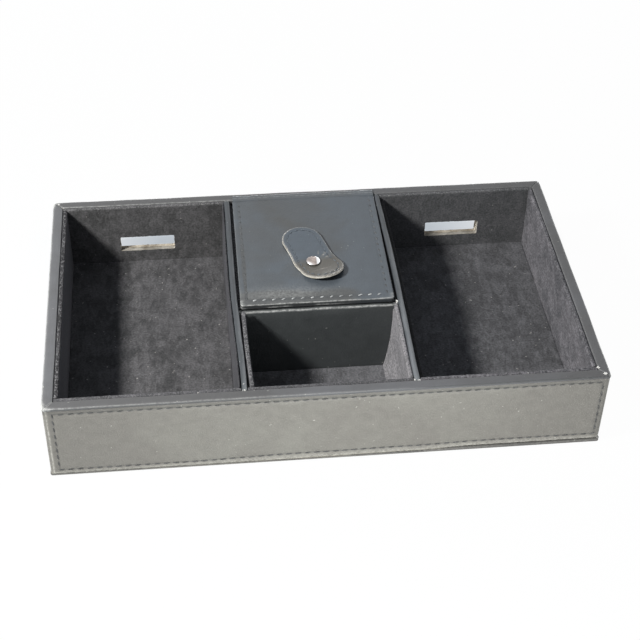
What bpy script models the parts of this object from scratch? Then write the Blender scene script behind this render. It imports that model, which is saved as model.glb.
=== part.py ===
"""Desk organizer tray with three open bays and a lidded bay, all in metres, +Z up.

The tray is a box of thin boards. Leather is folded over every rim and divider, a stitched leather
panel faces each outer side, and each bay is lined with cards that are covered in velvet. The lid
of the rear middle bay folds back on its own leather, and a leather pull tab turns on its rivet.
The origin is at the middle of the underside, and the front of the tray looks along -Y.
"""

import math

import bmesh
import bpy
from mathutils import Matrix, Vector

MM = 0.001

# Outer sizes
TRAY_LENGTH = 342.2 * MM
TRAY_DEPTH = 203.8 * MM
RIM_HEIGHT = 56.5 * MM

# Sheets and boards
GAP = 0.25 * MM
LEATHER = 0.55 * MM
PANEL = 0.6 * MM
WALL_BOARD = 3.9 * MM
FLOOR_BOARD = 3.0 * MM
BASE_BOARD = 1.5 * MM
DIVIDER_BOARD = 2.0 * MM
LINING_CARD = 2.7 * MM
FLOOR_CARD = 2.8 * MM

# Folds, corners and edges
BASE_LIP = 0.4 * MM
BASE_CORNER = 1.5 * MM
BASE_TURN_IN = 15.0 * MM
LIP_HEIGHT = 2.0 * MM
PANEL_EDGE = 0.25 * MM
FOLD_RADIUS = 0.9 * MM
WRAP_LEG = 14.0 * MM
CARD_DROP = 0.3 * MM
CARD_EDGE = 0.7 * MM
FOLD_STEPS = 3
CORNER_STEPS = 4
EDGE_STEPS = 2
SMALLEST_CORNER = 0.05 * MM
SHARP_ANGLE = math.radians(35)

# Middle bays
MIDDLE_WIDTH = 101.8 * MM
CROSS_LEDGE = 1.8 * MM
CROSS_LEAN = 9.0 * MM
COIN_CARD_LEAN = 3.6 * MM
LOW_CARD_DROP = 2.2 * MM

# Cable slots through the back wall
SLOT_LENGTH = 38.0 * MM
SLOT_HEIGHT = 11.9 * MM
SLOT_SILL = 18.7 * MM
SLOT_OFFSET = 108.3 * MM
SLOT_CORNER = 1.0 * MM

# Lid and its leather hinge
LID_LENGTH = 113.1 * MM
LID_SIDE_GAP = 1.5 * MM
LID_BOARD = 3.0 * MM
LID_CARD = 0.8 * MM
LID_CARD_EDGE = 0.25 * MM
LID_CORNER = 2.0 * MM
LID_TURN_IN = 12.0 * MM
LID_SEAT_CLEARANCE = 0.35 * MM
HINGE_INSET = 0.35 * MM
HINGE_HALF_GAP = 0.15 * MM
STRAP_WIDTH = 3.4 * MM
STRAP_EDGE = 0.18 * MM

# Pull tab and its rivet
TAB_THICKNESS = 1.6 * MM
TAB_REAR_RADIUS = 13.4 * MM
TAB_FRONT_RADIUS = 14.3 * MM
TAB_REAR_REACH = 24.0 * MM
TAB_FRONT_REACH = 6.8 * MM
TAB_RIGHT_WAIST = 1.6 * MM
TAB_LEFT_WAIST = 0.9 * MM
TAB_WAIST_PLACE = 0.35
TAB_OFFSET = 3.0 * MM
TAB_TURN = math.radians(19.5)
TAB_FRONT_LIFT = 3.4 * MM
TAB_REAR_LIFT = 0.7 * MM
TAB_CURL = 1.5
TAB_EDGE = 0.3 * MM
TAB_RINGS = 5
TAB_ARC_STEPS = 14
TAB_SIDE_STEPS = 8
RIVET_FROM_FRONT = 38.0 * MM
RIVET_FROM_MIDDLE = 1.2 * MM
RIVET_CAP_RADIUS = 4.6 * MM
RIVET_CAP_HEIGHT = 2.0 * MM
RIVET_CAP_EDGE = 0.5 * MM
RIVET_DOME_STEPS = 6
RIVET_SOCKET_DEPTH = 0.9 * MM
RIVET_POST_RADIUS = 1.6 * MM
RIVET_FLANGE_RADIUS = 4.5 * MM
RIVET_FLANGE = 0.6 * MM
RIVET_SEGMENTS = 32

# Levels
BASE_HEIGHT = 2 * LEATHER + 2 * GAP + BASE_BOARD
WALL_FOOT = BASE_HEIGHT + GAP
FLOOR_TOP = WALL_FOOT + FLOOR_BOARD
CARD_FOOT = FLOOR_TOP + GAP
BAY_FLOOR = CARD_FOOT + FLOOR_CARD
BOARD_TOP = RIM_HEIGHT - LEATHER - GAP
CARD_TOP = RIM_HEIGHT - CARD_DROP
LID_TOP = RIM_HEIGHT + GAP + LEATHER
LID_BOARD_TOP = LID_TOP - LEATHER - GAP
LID_BOARD_FOOT = LID_BOARD_TOP - LID_BOARD
LID_RIM_FOOT = LID_BOARD_FOOT - GAP - LEATHER
LID_FOOT = LID_RIM_FOOT - GAP - LID_CARD
SEAT_TOP = LID_RIM_FOOT - GAP

# Distances in from the tray's outer edge
HALF_LENGTH = TRAY_LENGTH / 2
HALF_DEPTH = TRAY_DEPTH / 2
PANEL_INSET = BASE_LIP
WRAP_INSET = PANEL_INSET + PANEL + GAP
BOARD_INSET = WRAP_INSET + LEATHER + GAP
BOARD_BACK = BOARD_INSET + WALL_BOARD
SEAM_INSET = BOARD_BACK + GAP + LEATHER
CARD_INSET = SEAM_INSET + GAP
BAY_INSET = CARD_INSET + LINING_CARD

# Dividers, from the tray's middle plane outwards
DIVIDER_FACE = MIDDLE_WIDTH / 2
DIVIDER_WIDTH = DIVIDER_BOARD + 2 * (GAP + LEATHER)
DIVIDER_MIDDLE = DIVIDER_FACE + DIVIDER_WIDTH / 2
DIVIDER_BACK = DIVIDER_FACE + DIVIDER_WIDTH
MIDDLE_CARD_FACE = DIVIDER_FACE - GAP - LINING_CARD

# Lid, hinge line and cross divider
HINGE_Y = HALF_DEPTH - SEAM_INSET - HINGE_INSET
HINGE_Z = LID_TOP + GAP / 2
LID_REAR = HINGE_Y - HINGE_HALF_GAP
LID_FRONT = LID_REAR - LID_LENGTH
LID_HALF_WIDTH = DIVIDER_FACE - LID_SIDE_GAP
LID_MIDDLE_Y = (LID_REAR + LID_FRONT) / 2
CROSS_FACE_Y = LID_FRONT - CROSS_LEDGE
CROSS_SLOPE = CROSS_LEAN / (SEAT_TOP - BAY_FLOOR)
CROSS_BACK = DIVIDER_WIDTH
CROSS_HALF_WIDTH = DIVIDER_FACE - GAP
RIVET_X = RIVET_FROM_MIDDLE
RIVET_Y = LID_FRONT + RIVET_FROM_FRONT
TAB_FOOT = LID_TOP + GAP
TAB_TOP = TAB_FOOT + TAB_THICKNESS

SIDES = {
    "front": 0.0,
    "right": math.pi / 2,
    "back": math.pi,
    "left": -math.pi / 2,
}


def clear_scene():
    """Remove every object of the open scene."""
    for old in list(bpy.data.objects):
        bpy.data.objects.remove(old, do_unlink=True)


def make_finish(name, colour, roughness, metallic):
    """A plain material with one colour."""
    finish = bpy.data.materials.new(name)
    finish.use_nodes = True
    shader = finish.node_tree.nodes["Principled BSDF"]
    shader.inputs["Base Color"].default_value = (*colour, 1.0)
    shader.inputs["Roughness"].default_value = roughness
    shader.inputs["Metallic"].default_value = metallic
    finish.diffuse_color = (*colour, 1.0)
    return finish


def make_finishes():
    """The five stuffs that the tray is made of."""
    return {
        "leather": make_finish("grey_leather", (0.130, 0.137, 0.148), 0.42, 0.0),
        "velvet": make_finish("charcoal_velvet", (0.085, 0.085, 0.088), 0.95, 0.0),
        "board": make_finish("raw_fibreboard", (0.48, 0.37, 0.25), 0.85, 0.0),
        "card": make_finish("grey_card", (0.40, 0.38, 0.35), 0.90, 0.0),
        "nickel": make_finish("nickel_rivet", (0.72, 0.70, 0.67), 0.22, 1.0),
    }


def add_piece(name, shape, finish, location=(0.0, 0.0, 0.0), turn=0.0, parent=None):
    """Put a finished shape into the scene as one named piece."""
    mesh = bpy.data.meshes.new(name)
    shape.to_mesh(mesh)
    shape.free()
    mesh.materials.append(finish)
    piece = bpy.data.objects.new(name, mesh)
    bpy.context.scene.collection.objects.link(piece)
    piece.rotation_euler = (0.0, 0.0, turn)
    piece.location = Vector(location)
    if parent is not None:
        piece.parent = parent
        piece.location = Vector(location) - parent.location
    return piece


def cut(piece, cutter):
    """Take the cutter's shape out of a piece."""
    hole = piece.modifiers.new("cut_" + cutter.name, "BOOLEAN")
    hole.operation = "DIFFERENCE"
    hole.solver = "EXACT"
    hole.object = cutter


def hide_cutter(cutter):
    """Keep a cutter out of the built model."""
    cutter.hide_render = True
    cutter.display_type = "WIRE"


def smooth(piece):
    """Shade the round faces of a piece smooth and leave its edges sharp."""
    piece.data.shade_smooth()
    piece.data.set_sharp_from_angle(angle=SHARP_ANGLE)


def loft(rings, closed=False):
    """Skin rings with equal numbers of points; the end rings are capped, or joined if closed."""
    shape = bmesh.new()
    loops = [[shape.verts.new(point) for point in ring] for ring in rings]
    pairs = list(zip(loops, loops[1:]))
    if closed:
        pairs.append((loops[-1], loops[0]))
    for lower, upper in pairs:
        for index in range(len(lower)):
            after = (index + 1) % len(lower)
            shape.faces.new((lower[index], lower[after], upper[after], upper[index]))
    if not closed:
        shape.faces.new(loops[0])
        shape.faces.new(loops[-1])
    bmesh.ops.recalc_face_normals(shape, faces=shape.faces)
    return shape


def box(size):
    """A box of the given size about the origin."""
    shape = bmesh.new()
    bmesh.ops.create_cube(shape, size=1.0)
    bmesh.ops.scale(shape, vec=size, verts=shape.verts)
    return shape


def soften(shape, radius):
    """Round every edge of a shape."""
    bmesh.ops.bevel(
        shape,
        geom=list(shape.edges),
        offset=radius,
        offset_type="OFFSET",
        segments=EDGE_STEPS,
        profile=0.5,
        affect="EDGES",
    )
    return shape


def arc(centre_a, centre_b, radius, start, end, steps):
    """Points of an arc from one angle to another."""
    points = []
    for step in range(steps + 1):
        angle = start + (end - start) * step / steps
        points.append((centre_a + radius * math.cos(angle), centre_b + radius * math.sin(angle)))
    return points


def rounded_outline(half_x, half_y, radius):
    """An anticlockwise rectangle whose corners are quarter circles."""
    quarter = math.pi / 2
    corner_x = half_x - radius
    corner_y = half_y - radius
    points = arc(corner_x, corner_y, radius, 0.0, quarter, CORNER_STEPS)
    points += arc(-corner_x, corner_y, radius, quarter, 2 * quarter, CORNER_STEPS)
    points += arc(-corner_x, -corner_y, radius, 2 * quarter, 3 * quarter, CORNER_STEPS)
    points += arc(corner_x, -corner_y, radius, 3 * quarter, 4 * quarter, CORNER_STEPS)
    return points


def outline_ring(half_x, half_y, radius, inset, level):
    """The rounded rectangle drawn in by an inset, at one height."""
    corner = max(radius - inset, SMALLEST_CORNER)
    return [(x, y, level) for x, y in rounded_outline(half_x - inset, half_y - inset, corner)]


def wrapped_rings(half_x, half_y, corner, top, foot, turn_in):
    """Rings of a leather skin: a closed face at the foot, round edges, and turned-in sheet on top."""
    fold_low = arc(FOLD_RADIUS, foot + FOLD_RADIUS, FOLD_RADIUS, -math.pi / 2, -math.pi, FOLD_STEPS)
    fold_high = arc(FOLD_RADIUS, top - FOLD_RADIUS, FOLD_RADIUS, -math.pi, -1.5 * math.pi, FOLD_STEPS)
    steps = fold_low + fold_high
    steps += [(turn_in, top), (turn_in, top - LEATHER)]
    steps += [(LEATHER, top - LEATHER), (LEATHER, foot + LEATHER)]
    return [outline_ring(half_x, half_y, corner, inset, level) for inset, level in steps]


def wrap_section(outer, inner, top, outer_foot, inner_foot, lip=0.0):
    """Section of a sheet folded over an edge: down the outer side, over the top, down the inner.

    A lip is the doubled leather at the top of the outer side, which covers the panel's edge.
    """
    brow = outer - lip
    skin = arc(brow + FOLD_RADIUS, top - FOLD_RADIUS, FOLD_RADIUS, math.pi, math.pi / 2, FOLD_STEPS)
    if lip > 0.0:
        skin = [(outer, top - LIP_HEIGHT), (brow, top - LIP_HEIGHT)] + skin
    skin += arc(inner - FOLD_RADIUS, top - FOLD_RADIUS, FOLD_RADIUS, math.pi / 2, 0.0, FOLD_STEPS)
    hollow = FOLD_RADIUS - LEATHER
    back = arc(inner - FOLD_RADIUS, top - FOLD_RADIUS, hollow, 0.0, math.pi / 2, FOLD_STEPS)
    back += arc(outer + FOLD_RADIUS, top - FOLD_RADIUS, hollow, math.pi / 2, math.pi, FOLD_STEPS)
    section = [(outer, outer_foot)] + skin + [(inner, inner_foot)]
    section += [(inner - LEATHER, inner_foot)] + back + [(outer + LEATHER, outer_foot)]
    return section


def extrude_section(section, half_end):
    """Run a section in Y and Z along X; half_end gives the half length at each Y."""
    left = [(-half_end(y), y, z) for y, z in section]
    right = [(half_end(y), y, z) for y, z in section]
    return loft([left, right])


def side_location(turn):
    """The middle of a side's outer edge, at the tray's foot."""
    outward = Matrix.Rotation(turn, 3, "Z") @ Vector((0.0, -1.0, 0.0))
    return Vector((outward.x * HALF_LENGTH, outward.y * HALF_DEPTH, 0.0))


def is_long(side):
    """Whether a side runs along the tray's length."""
    return side in ("front", "back")


def build_slot_cutters():
    """Bars in the form of the two cable slots, longer than the back wall is thick."""
    cutters = {}
    reach = BAY_INSET + WALL_BOARD
    outline = rounded_outline(SLOT_LENGTH / 2, SLOT_HEIGHT / 2, SLOT_CORNER)
    for side, sign in (("left", -1), ("right", 1)):
        rings = [[(x, depth, z) for x, z in outline] for depth in (-reach, reach)]
        centre = (sign * SLOT_OFFSET, HALF_DEPTH, SLOT_SILL + SLOT_HEIGHT / 2)
        cutter = bpy.data.objects.new("slot_cutter_" + side, bpy.data.meshes.new("slot"))
        bpy.context.scene.collection.objects.link(cutter)
        shape = loft(rings)
        shape.to_mesh(cutter.data)
        shape.free()
        cutter.location = centre
        hide_cutter(cutter)
        cutters[side] = cutter
    return cutters


def build_base(finishes):
    """The base: a thin board in a leather skin, and the floor board that the dividers stand on."""
    rings = wrapped_rings(HALF_LENGTH, HALF_DEPTH, BASE_CORNER, BASE_HEIGHT, 0.0, BASE_TURN_IN)
    cover = add_piece("base_cover", loft(rings), finishes["leather"])
    smooth(cover)
    inset = LEATHER + GAP
    rings = [
        outline_ring(HALF_LENGTH, HALF_DEPTH, BASE_CORNER, inset, level)
        for level in (inset, inset + BASE_BOARD)
    ]
    add_piece("base_board", loft(rings), finishes["card"])
    inset = BOARD_BACK + GAP
    size = (TRAY_LENGTH - 2 * inset, TRAY_DEPTH - 2 * inset, FLOOR_BOARD)
    centre = (0.0, 0.0, WALL_FOOT + FLOOR_BOARD / 2)
    add_piece("floor_board", box(size), finishes["board"], centre)


def build_wall_board(side, turn, finishes):
    """One wall board; the long walls run through and the short ones stand between them."""
    half_run = HALF_LENGTH - BOARD_INSET
    if not is_long(side):
        half_run = HALF_DEPTH - BOARD_BACK - GAP
    shape = box((2 * half_run, WALL_BOARD, BOARD_TOP - WALL_FOOT))
    middle = Vector((0.0, BOARD_INSET + WALL_BOARD / 2, (BOARD_TOP + WALL_FOOT) / 2))
    centre = side_location(turn) + Matrix.Rotation(turn, 3, "Z") @ middle
    return add_piece(side + "_wall_board", shape, finishes["board"], centre, turn)


def build_rim(side, turn, finishes):
    """The leather folded over one wall's top, mitred at both ends."""
    leg_foot = RIM_HEIGHT - WRAP_LEG
    section = wrap_section(WRAP_INSET, SEAM_INSET, RIM_HEIGHT, leg_foot, leg_foot, WRAP_INSET)
    half_run = HALF_LENGTH if is_long(side) else HALF_DEPTH
    shape = extrude_section(section, lambda inset: half_run - inset - GAP)
    rim = add_piece(side + "_rim", shape, finishes["leather"], side_location(turn), turn)
    smooth(rim)
    return rim


def build_panel(side, turn, finishes):
    """The leather panel that faces one outer side."""
    half_run = HALF_LENGTH - PANEL_INSET
    if not is_long(side):
        half_run = HALF_DEPTH - PANEL_INSET - PANEL - GAP
    top = RIM_HEIGHT - LIP_HEIGHT - GAP
    shape = soften(box((2 * half_run, PANEL, top - WALL_FOOT)), PANEL_EDGE)
    middle = Vector((0.0, PANEL_INSET + PANEL / 2, (top + WALL_FOOT) / 2))
    centre = side_location(turn) + Matrix.Rotation(turn, 3, "Z") @ middle
    return add_piece(side + "_panel", shape, finishes["leather"], centre, turn)


def build_walls(finishes, slot_cutters):
    """The four walls; the two cable slots go through every layer of the back one."""
    for side, turn in SIDES.items():
        layers = [
            build_wall_board(side, turn, finishes),
            build_rim(side, turn, finishes),
            build_panel(side, turn, finishes),
        ]
        if side == "back":
            for layer in layers:
                cut(layer, slot_cutters["left"])
                cut(layer, slot_cutters["right"])


def build_dividers(finishes):
    """The two dividers that run from the front wall to the back wall."""
    half_run = HALF_DEPTH - SEAM_INSET - GAP
    leg_foot = RIM_HEIGHT - WRAP_LEG
    half_width = DIVIDER_WIDTH / 2
    section = wrap_section(-half_width, half_width, RIM_HEIGHT, leg_foot, leg_foot)
    for side, sign in (("left", -1), ("right", 1)):
        place = (sign * DIVIDER_MIDDLE, 0.0, (BOARD_TOP + CARD_FOOT) / 2)
        size = (DIVIDER_BOARD, 2 * half_run, BOARD_TOP - CARD_FOOT)
        add_piece(side + "_divider_board", box(size), finishes["card"], place)
        shape = extrude_section(section, lambda across: half_run)
        place = (sign * DIVIDER_MIDDLE, 0.0, 0.0)
        wrap = add_piece(side + "_divider_wrap", shape, finishes["leather"], place, math.pi / 2)
        smooth(wrap)


def lean(section):
    """Shear a section in Y and Z so that its foot comes forward as the cross divider's does."""
    return [(y - CROSS_SLOPE * (SEAT_TOP - z), z) for y, z in section]


def cross_face(level, setback=0.0):
    """Y of the cross divider's front face at a height, plus a distance behind it."""
    return CROSS_FACE_Y - CROSS_SLOPE * (SEAT_TOP - level) + setback


def build_cross_divider(finishes):
    """The leaning divider between the coin bay and the lidded bay, leather over its whole face."""
    place = (0.0, CROSS_FACE_Y, 0.0)
    front = LEATHER + GAP
    top = SEAT_TOP - LEATHER - GAP
    section = [(front, CARD_FOOT), (front, top)]
    section += [(front + DIVIDER_BOARD, top), (front + DIVIDER_BOARD, CARD_FOOT)]
    shape = extrude_section(lean(section), lambda y: CROSS_HALF_WIDTH)
    add_piece("cross_divider_board", shape, finishes["card"], place)
    section = wrap_section(0.0, CROSS_BACK, SEAT_TOP, CARD_FOOT, SEAT_TOP - WRAP_LEG)
    shape = extrude_section(lean(section), lambda y: CROSS_HALF_WIDTH)
    smooth(add_piece("cross_divider_wrap", shape, finishes["leather"], place))


def add_card(name, finish, across, along, top):
    """A velvet-covered card that fills a range of X and a range of Y, its edges soft with pile."""
    low = Vector((across[0], along[0], CARD_FOOT))
    high = Vector((across[1], along[1], top))
    piece = add_piece(name, soften(box(high - low), CARD_EDGE), finish, (low + high) / 2)
    smooth(piece)
    return piece


def add_side_card(name, finish, section, sign, foot_lean=0.0):
    """A side card of a middle bay, cut to a section in Y and Z; its foot may lean into the bay."""
    outer_x = DIVIDER_FACE - GAP
    height = max(z for y, z in section) - CARD_FOOT
    rings = []
    for face_x in (outer_x, outer_x - LINING_CARD):
        ring = []
        for y, z in section:
            lean_in = foot_lean * (1.0 - (z - CARD_FOOT) / height)
            ring.append((sign * (face_x - lean_in), y, z))
        rings.append(ring)
    piece = add_piece(name, soften(loft(rings), CARD_EDGE), finish)
    smooth(piece)


def build_side_bay(bay, sign, finish, slot_cutter, left_drop=0.0):
    """Linings of a full-depth bay: front and back cards run through, side cards fit between."""
    left, right = sorted((sign * (DIVIDER_BACK + GAP), sign * (HALF_LENGTH - CARD_INSET)))
    back = HALF_DEPTH - CARD_INSET
    inner_back = back - LINING_CARD
    add_card(bay + "_front_lining", finish, (left, right), (-back, -inner_back), CARD_TOP)
    rear = add_card(bay + "_back_lining", finish, (left, right), (inner_back, back), CARD_TOP)
    cut(rear, slot_cutter)
    between = (-inner_back + GAP, inner_back - GAP)
    inner_left = left + LINING_CARD
    inner_right = right - LINING_CARD
    add_card(bay + "_left_lining", finish, (left, inner_left), between, CARD_TOP - left_drop)
    add_card(bay + "_right_lining", finish, (inner_right, right), between, CARD_TOP)
    add_card(bay + "_floor_lining", finish, (inner_left + GAP, inner_right - GAP), between, BAY_FLOOR)


def build_coin_bay(finish):
    """Linings of the small open bay in front of the lid; its side cards follow the leaning face."""
    half_width = DIVIDER_FACE - GAP
    front = -HALF_DEPTH + CARD_INSET
    inner_front = front + LINING_CARD
    span = (-half_width, half_width)
    add_card("coin_bay_front_lining", finish, span, (front, inner_front), CARD_TOP)
    side_front = inner_front + GAP
    section = [(side_front, CARD_FOOT), (side_front, CARD_TOP)]
    section += [(cross_face(CARD_TOP, -GAP), CARD_TOP), (cross_face(CARD_FOOT, -GAP), CARD_FOOT)]
    add_side_card("coin_bay_left_lining", finish, section, -1)
    add_side_card("coin_bay_right_lining", finish, section, 1, COIN_CARD_LEAN)
    span = (-MIDDLE_CARD_FACE + GAP, MIDDLE_CARD_FACE - GAP - COIN_CARD_LEAN)
    along = (side_front, cross_face(CARD_FOOT, -GAP))
    add_card("coin_bay_floor_lining", finish, span, along, BAY_FLOOR)


def build_lidded_bay(finish):
    """Linings of the lidded bay; their tops are the seat that the lid's edge rests on."""
    half_width = DIVIDER_FACE - GAP
    near = CROSS_BACK + GAP
    far = near + LINING_CARD
    section = [(cross_face(CARD_FOOT, near), CARD_FOOT), (cross_face(SEAT_TOP, near), SEAT_TOP)]
    section += [(cross_face(SEAT_TOP, far), SEAT_TOP), (cross_face(CARD_FOOT, far), CARD_FOOT)]
    shape = soften(extrude_section(section, lambda y: half_width), CARD_EDGE)
    smooth(add_piece("lidded_bay_front_lining", shape, finish))
    back = HALF_DEPTH - CARD_INSET
    inner_back = back - LINING_CARD
    span = (-half_width, half_width)
    add_card("lidded_bay_back_lining", finish, span, (inner_back, back), SEAT_TOP)
    start = far + GAP
    side_back = inner_back - GAP
    section = [(cross_face(CARD_FOOT, start), CARD_FOOT), (cross_face(SEAT_TOP, start), SEAT_TOP)]
    section += [(side_back, SEAT_TOP), (side_back, CARD_FOOT)]
    add_side_card("lidded_bay_left_lining", finish, section, -1)
    add_side_card("lidded_bay_right_lining", finish, section, 1)
    span = (-MIDDLE_CARD_FACE + GAP, MIDDLE_CARD_FACE - GAP)
    along = (cross_face(BAY_FLOOR, start), side_back)
    add_card("lidded_bay_floor_lining", finish, span, along, BAY_FLOOR)


def build_hinge_axis():
    """An empty on the fold line; all pieces of the lid hang on it."""
    axis = bpy.data.objects.new("lid_hinge_axis", None)
    bpy.context.scene.collection.objects.link(axis)
    axis.location = (0.0, HINGE_Y, HINGE_Z)
    return axis


def build_rivet_cutters(hinge_axis):
    """Cutters for the post's hole through the lid and the recess for the rivet's flange."""
    cutters = []
    reach = LID_TOP - LID_FOOT
    recess = RIVET_FLANGE + GAP
    shapes = (
        ("rivet_hole_cutter", RIVET_POST_RADIUS + GAP, 2 * reach, (LID_TOP + LID_FOOT) / 2),
        ("rivet_recess_cutter", RIVET_FLANGE_RADIUS + GAP, 2 * recess, LID_BOARD_FOOT),
    )
    for name, radius, height, level in shapes:
        shape = bmesh.new()
        bmesh.ops.create_cone(
            shape,
            cap_ends=True,
            segments=RIVET_SEGMENTS,
            radius1=radius,
            radius2=radius,
            depth=height,
        )
        mesh = bpy.data.meshes.new(name)
        shape.to_mesh(mesh)
        shape.free()
        cutter = bpy.data.objects.new(name, mesh)
        bpy.context.scene.collection.objects.link(cutter)
        cutter.parent = hinge_axis
        cutter.location = Vector((RIVET_X, RIVET_Y, level)) - hinge_axis.location
        hide_cutter(cutter)
        cutters.append(cutter)
    return cutters


def build_lid(finishes, hinge_axis):
    """The lid: a board, the leather drawn round it and turned in below, and a velvet card."""
    hole, recess = build_rivet_cutters(hinge_axis)
    half_length = LID_LENGTH / 2
    place = (0.0, LID_MIDDLE_Y, 0.0)
    rings = wrapped_rings(LID_HALF_WIDTH, half_length, LID_CORNER, -LID_RIM_FOOT, -LID_TOP, LID_TURN_IN)
    rings = [[(x, y, -z) for x, y, z in ring] for ring in rings]
    cover = add_piece("lid_cover", loft(rings), finishes["leather"], place, parent=hinge_axis)
    smooth(cover)
    cut(cover, hole)
    inset = LEATHER + GAP
    rings = [
        outline_ring(LID_HALF_WIDTH, half_length, LID_CORNER, inset, level)
        for level in (LID_BOARD_FOOT, LID_BOARD_TOP)
    ]
    board = add_piece("lid_board", loft(rings), finishes["card"], place, parent=hinge_axis)
    cut(board, hole)
    cut(board, recess)
    half_width = MIDDLE_CARD_FACE - LID_SEAT_CLEARANCE
    front = cross_face(SEAT_TOP, CROSS_BACK + GAP + LINING_CARD) + LID_SEAT_CLEARANCE
    back = HALF_DEPTH - BAY_INSET - LID_SEAT_CLEARANCE
    shape = soften(box((2 * half_width, back - front, LID_CARD)), LID_CARD_EDGE)
    place = (0.0, (front + back) / 2, LID_FOOT + LID_CARD / 2)
    add_piece("lid_lining", shape, finishes["velvet"], place, parent=hinge_axis)


def build_hinge_strap(finishes):
    """The end of the lid's leather, glued down on the rear rim behind the fold line."""
    front = HINGE_Y + HINGE_HALF_GAP
    size = (2 * LID_HALF_WIDTH, STRAP_WIDTH, LEATHER)
    place = (0.0, front + STRAP_WIDTH / 2, LID_TOP - LEATHER / 2)
    shape = soften(box(size), STRAP_EDGE)
    smooth(add_piece("hinge_strap", shape, finishes["leather"], place))


def tab_side(start, end, shift, place):
    """Points between two ends of a long side of the tab, shifted along X most at one place."""
    points = []
    skew = math.log(0.5) / math.log(place)
    for step in range(1, TAB_SIDE_STEPS):
        share = step / TAB_SIDE_STEPS
        x = start[0] + (end[0] - start[0]) * share
        y = start[1] + (end[1] - start[1]) * share
        points.append((x + shift * math.sin(math.pi * share ** skew) ** 2, y))
    return points


def tab_outline(inset):
    """The tab's outline about its rivet, anticlockwise, rear lobe towards +Y."""
    rear_radius = TAB_REAR_RADIUS - inset
    front_radius = TAB_FRONT_RADIUS - inset
    rear = arc(TAB_OFFSET, TAB_REAR_REACH, rear_radius, 0.0, math.pi, TAB_ARC_STEPS)
    front = arc(TAB_OFFSET, -TAB_FRONT_REACH, front_radius, math.pi, 2 * math.pi, TAB_ARC_STEPS)
    left_side = tab_side(rear[-1], front[0], TAB_LEFT_WAIST, 1.0 - TAB_WAIST_PLACE)
    right_side = tab_side(front[-1], rear[0], -TAB_RIGHT_WAIST, TAB_WAIST_PLACE)
    return rear + left_side + front + right_side


def tab_lift(along):
    """How far the tab has curled up off the lid at a distance behind its rivet."""
    if along < 0.0:
        reach = TAB_FRONT_REACH + TAB_FRONT_RADIUS
        lift = TAB_FRONT_LIFT
    else:
        reach = TAB_REAR_REACH + TAB_REAR_RADIUS
        lift = TAB_REAR_LIFT
    bent = max(abs(along) - RIVET_CAP_RADIUS, 0.0)
    return lift * (bent / (reach - RIVET_CAP_RADIUS)) ** TAB_CURL


def tab_ring(share, inset, level):
    """A ring of the tab between its rivet hole (share 0) and its edge (share 1)."""
    ring = []
    for x, y in tab_outline(inset):
        edge = Vector((x, y))
        hole = edge.normalized() * (RIVET_POST_RADIUS + GAP)
        point = hole.lerp(edge, share)
        ring.append((point.x, point.y, level + tab_lift(point.y)))
    return ring


def build_pull_tab(finishes, hinge_axis):
    """The stiff leather tab: flat round its rivet, curled up towards both ends."""
    rings = []
    for step in range(TAB_RINGS + 1):
        rings.append(tab_ring(step / TAB_RINGS, TAB_EDGE, 0.0))
    rings.append(tab_ring(1.0, 0.0, TAB_EDGE))
    rings.append(tab_ring(1.0, 0.0, TAB_THICKNESS - TAB_EDGE))
    for step in range(TAB_RINGS, -1, -1):
        rings.append(tab_ring(step / TAB_RINGS, TAB_EDGE, TAB_THICKNESS))
    place = (RIVET_X, RIVET_Y, TAB_FOOT)
    shape = loft(rings, closed=True)
    tab = add_piece("pull_tab", shape, finishes["leather"], place, TAB_TURN, hinge_axis)
    smooth(tab)


def turned(profile):
    """Spin a closed profile of radii and heights about Z; its ends lie on the axis."""
    rings = []
    for radius, level in profile:
        ring = []
        for index in range(RIVET_SEGMENTS):
            angle = 2 * math.pi * index / RIVET_SEGMENTS
            ring.append((radius * math.cos(angle), radius * math.sin(angle), level))
        rings.append(ring)
    return loft(rings)


def build_rivet(finishes, hinge_axis):
    """The two halves of the rivet: a domed cap with a socket, and a flanged post."""
    socket = RIVET_POST_RADIUS + GAP
    profile = [(socket, RIVET_SOCKET_DEPTH), (socket, 0.0)]
    profile += [(RIVET_CAP_RADIUS - RIVET_CAP_EDGE, 0.0), (RIVET_CAP_RADIUS, RIVET_CAP_EDGE / 2)]
    for step in range(1, RIVET_DOME_STEPS):
        angle = math.pi / 2 * step / RIVET_DOME_STEPS
        radius = RIVET_CAP_RADIUS * math.cos(angle)
        rise = (RIVET_CAP_HEIGHT - RIVET_CAP_EDGE) * math.sin(angle)
        profile.append((radius, RIVET_CAP_EDGE + rise))
    place = (RIVET_X, RIVET_Y, TAB_TOP + GAP)
    smooth(add_piece("rivet_cap", turned(profile), finishes["nickel"], place, parent=hinge_axis))
    post_top = TAB_TOP + RIVET_SOCKET_DEPTH
    height = post_top - LID_BOARD_FOOT
    profile = [(RIVET_FLANGE_RADIUS, 0.0), (RIVET_FLANGE_RADIUS, RIVET_FLANGE)]
    profile += [(RIVET_POST_RADIUS, RIVET_FLANGE), (RIVET_POST_RADIUS, height)]
    place = (RIVET_X, RIVET_Y, LID_BOARD_FOOT)
    smooth(add_piece("rivet_post", turned(profile), finishes["nickel"], place, parent=hinge_axis))


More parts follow.
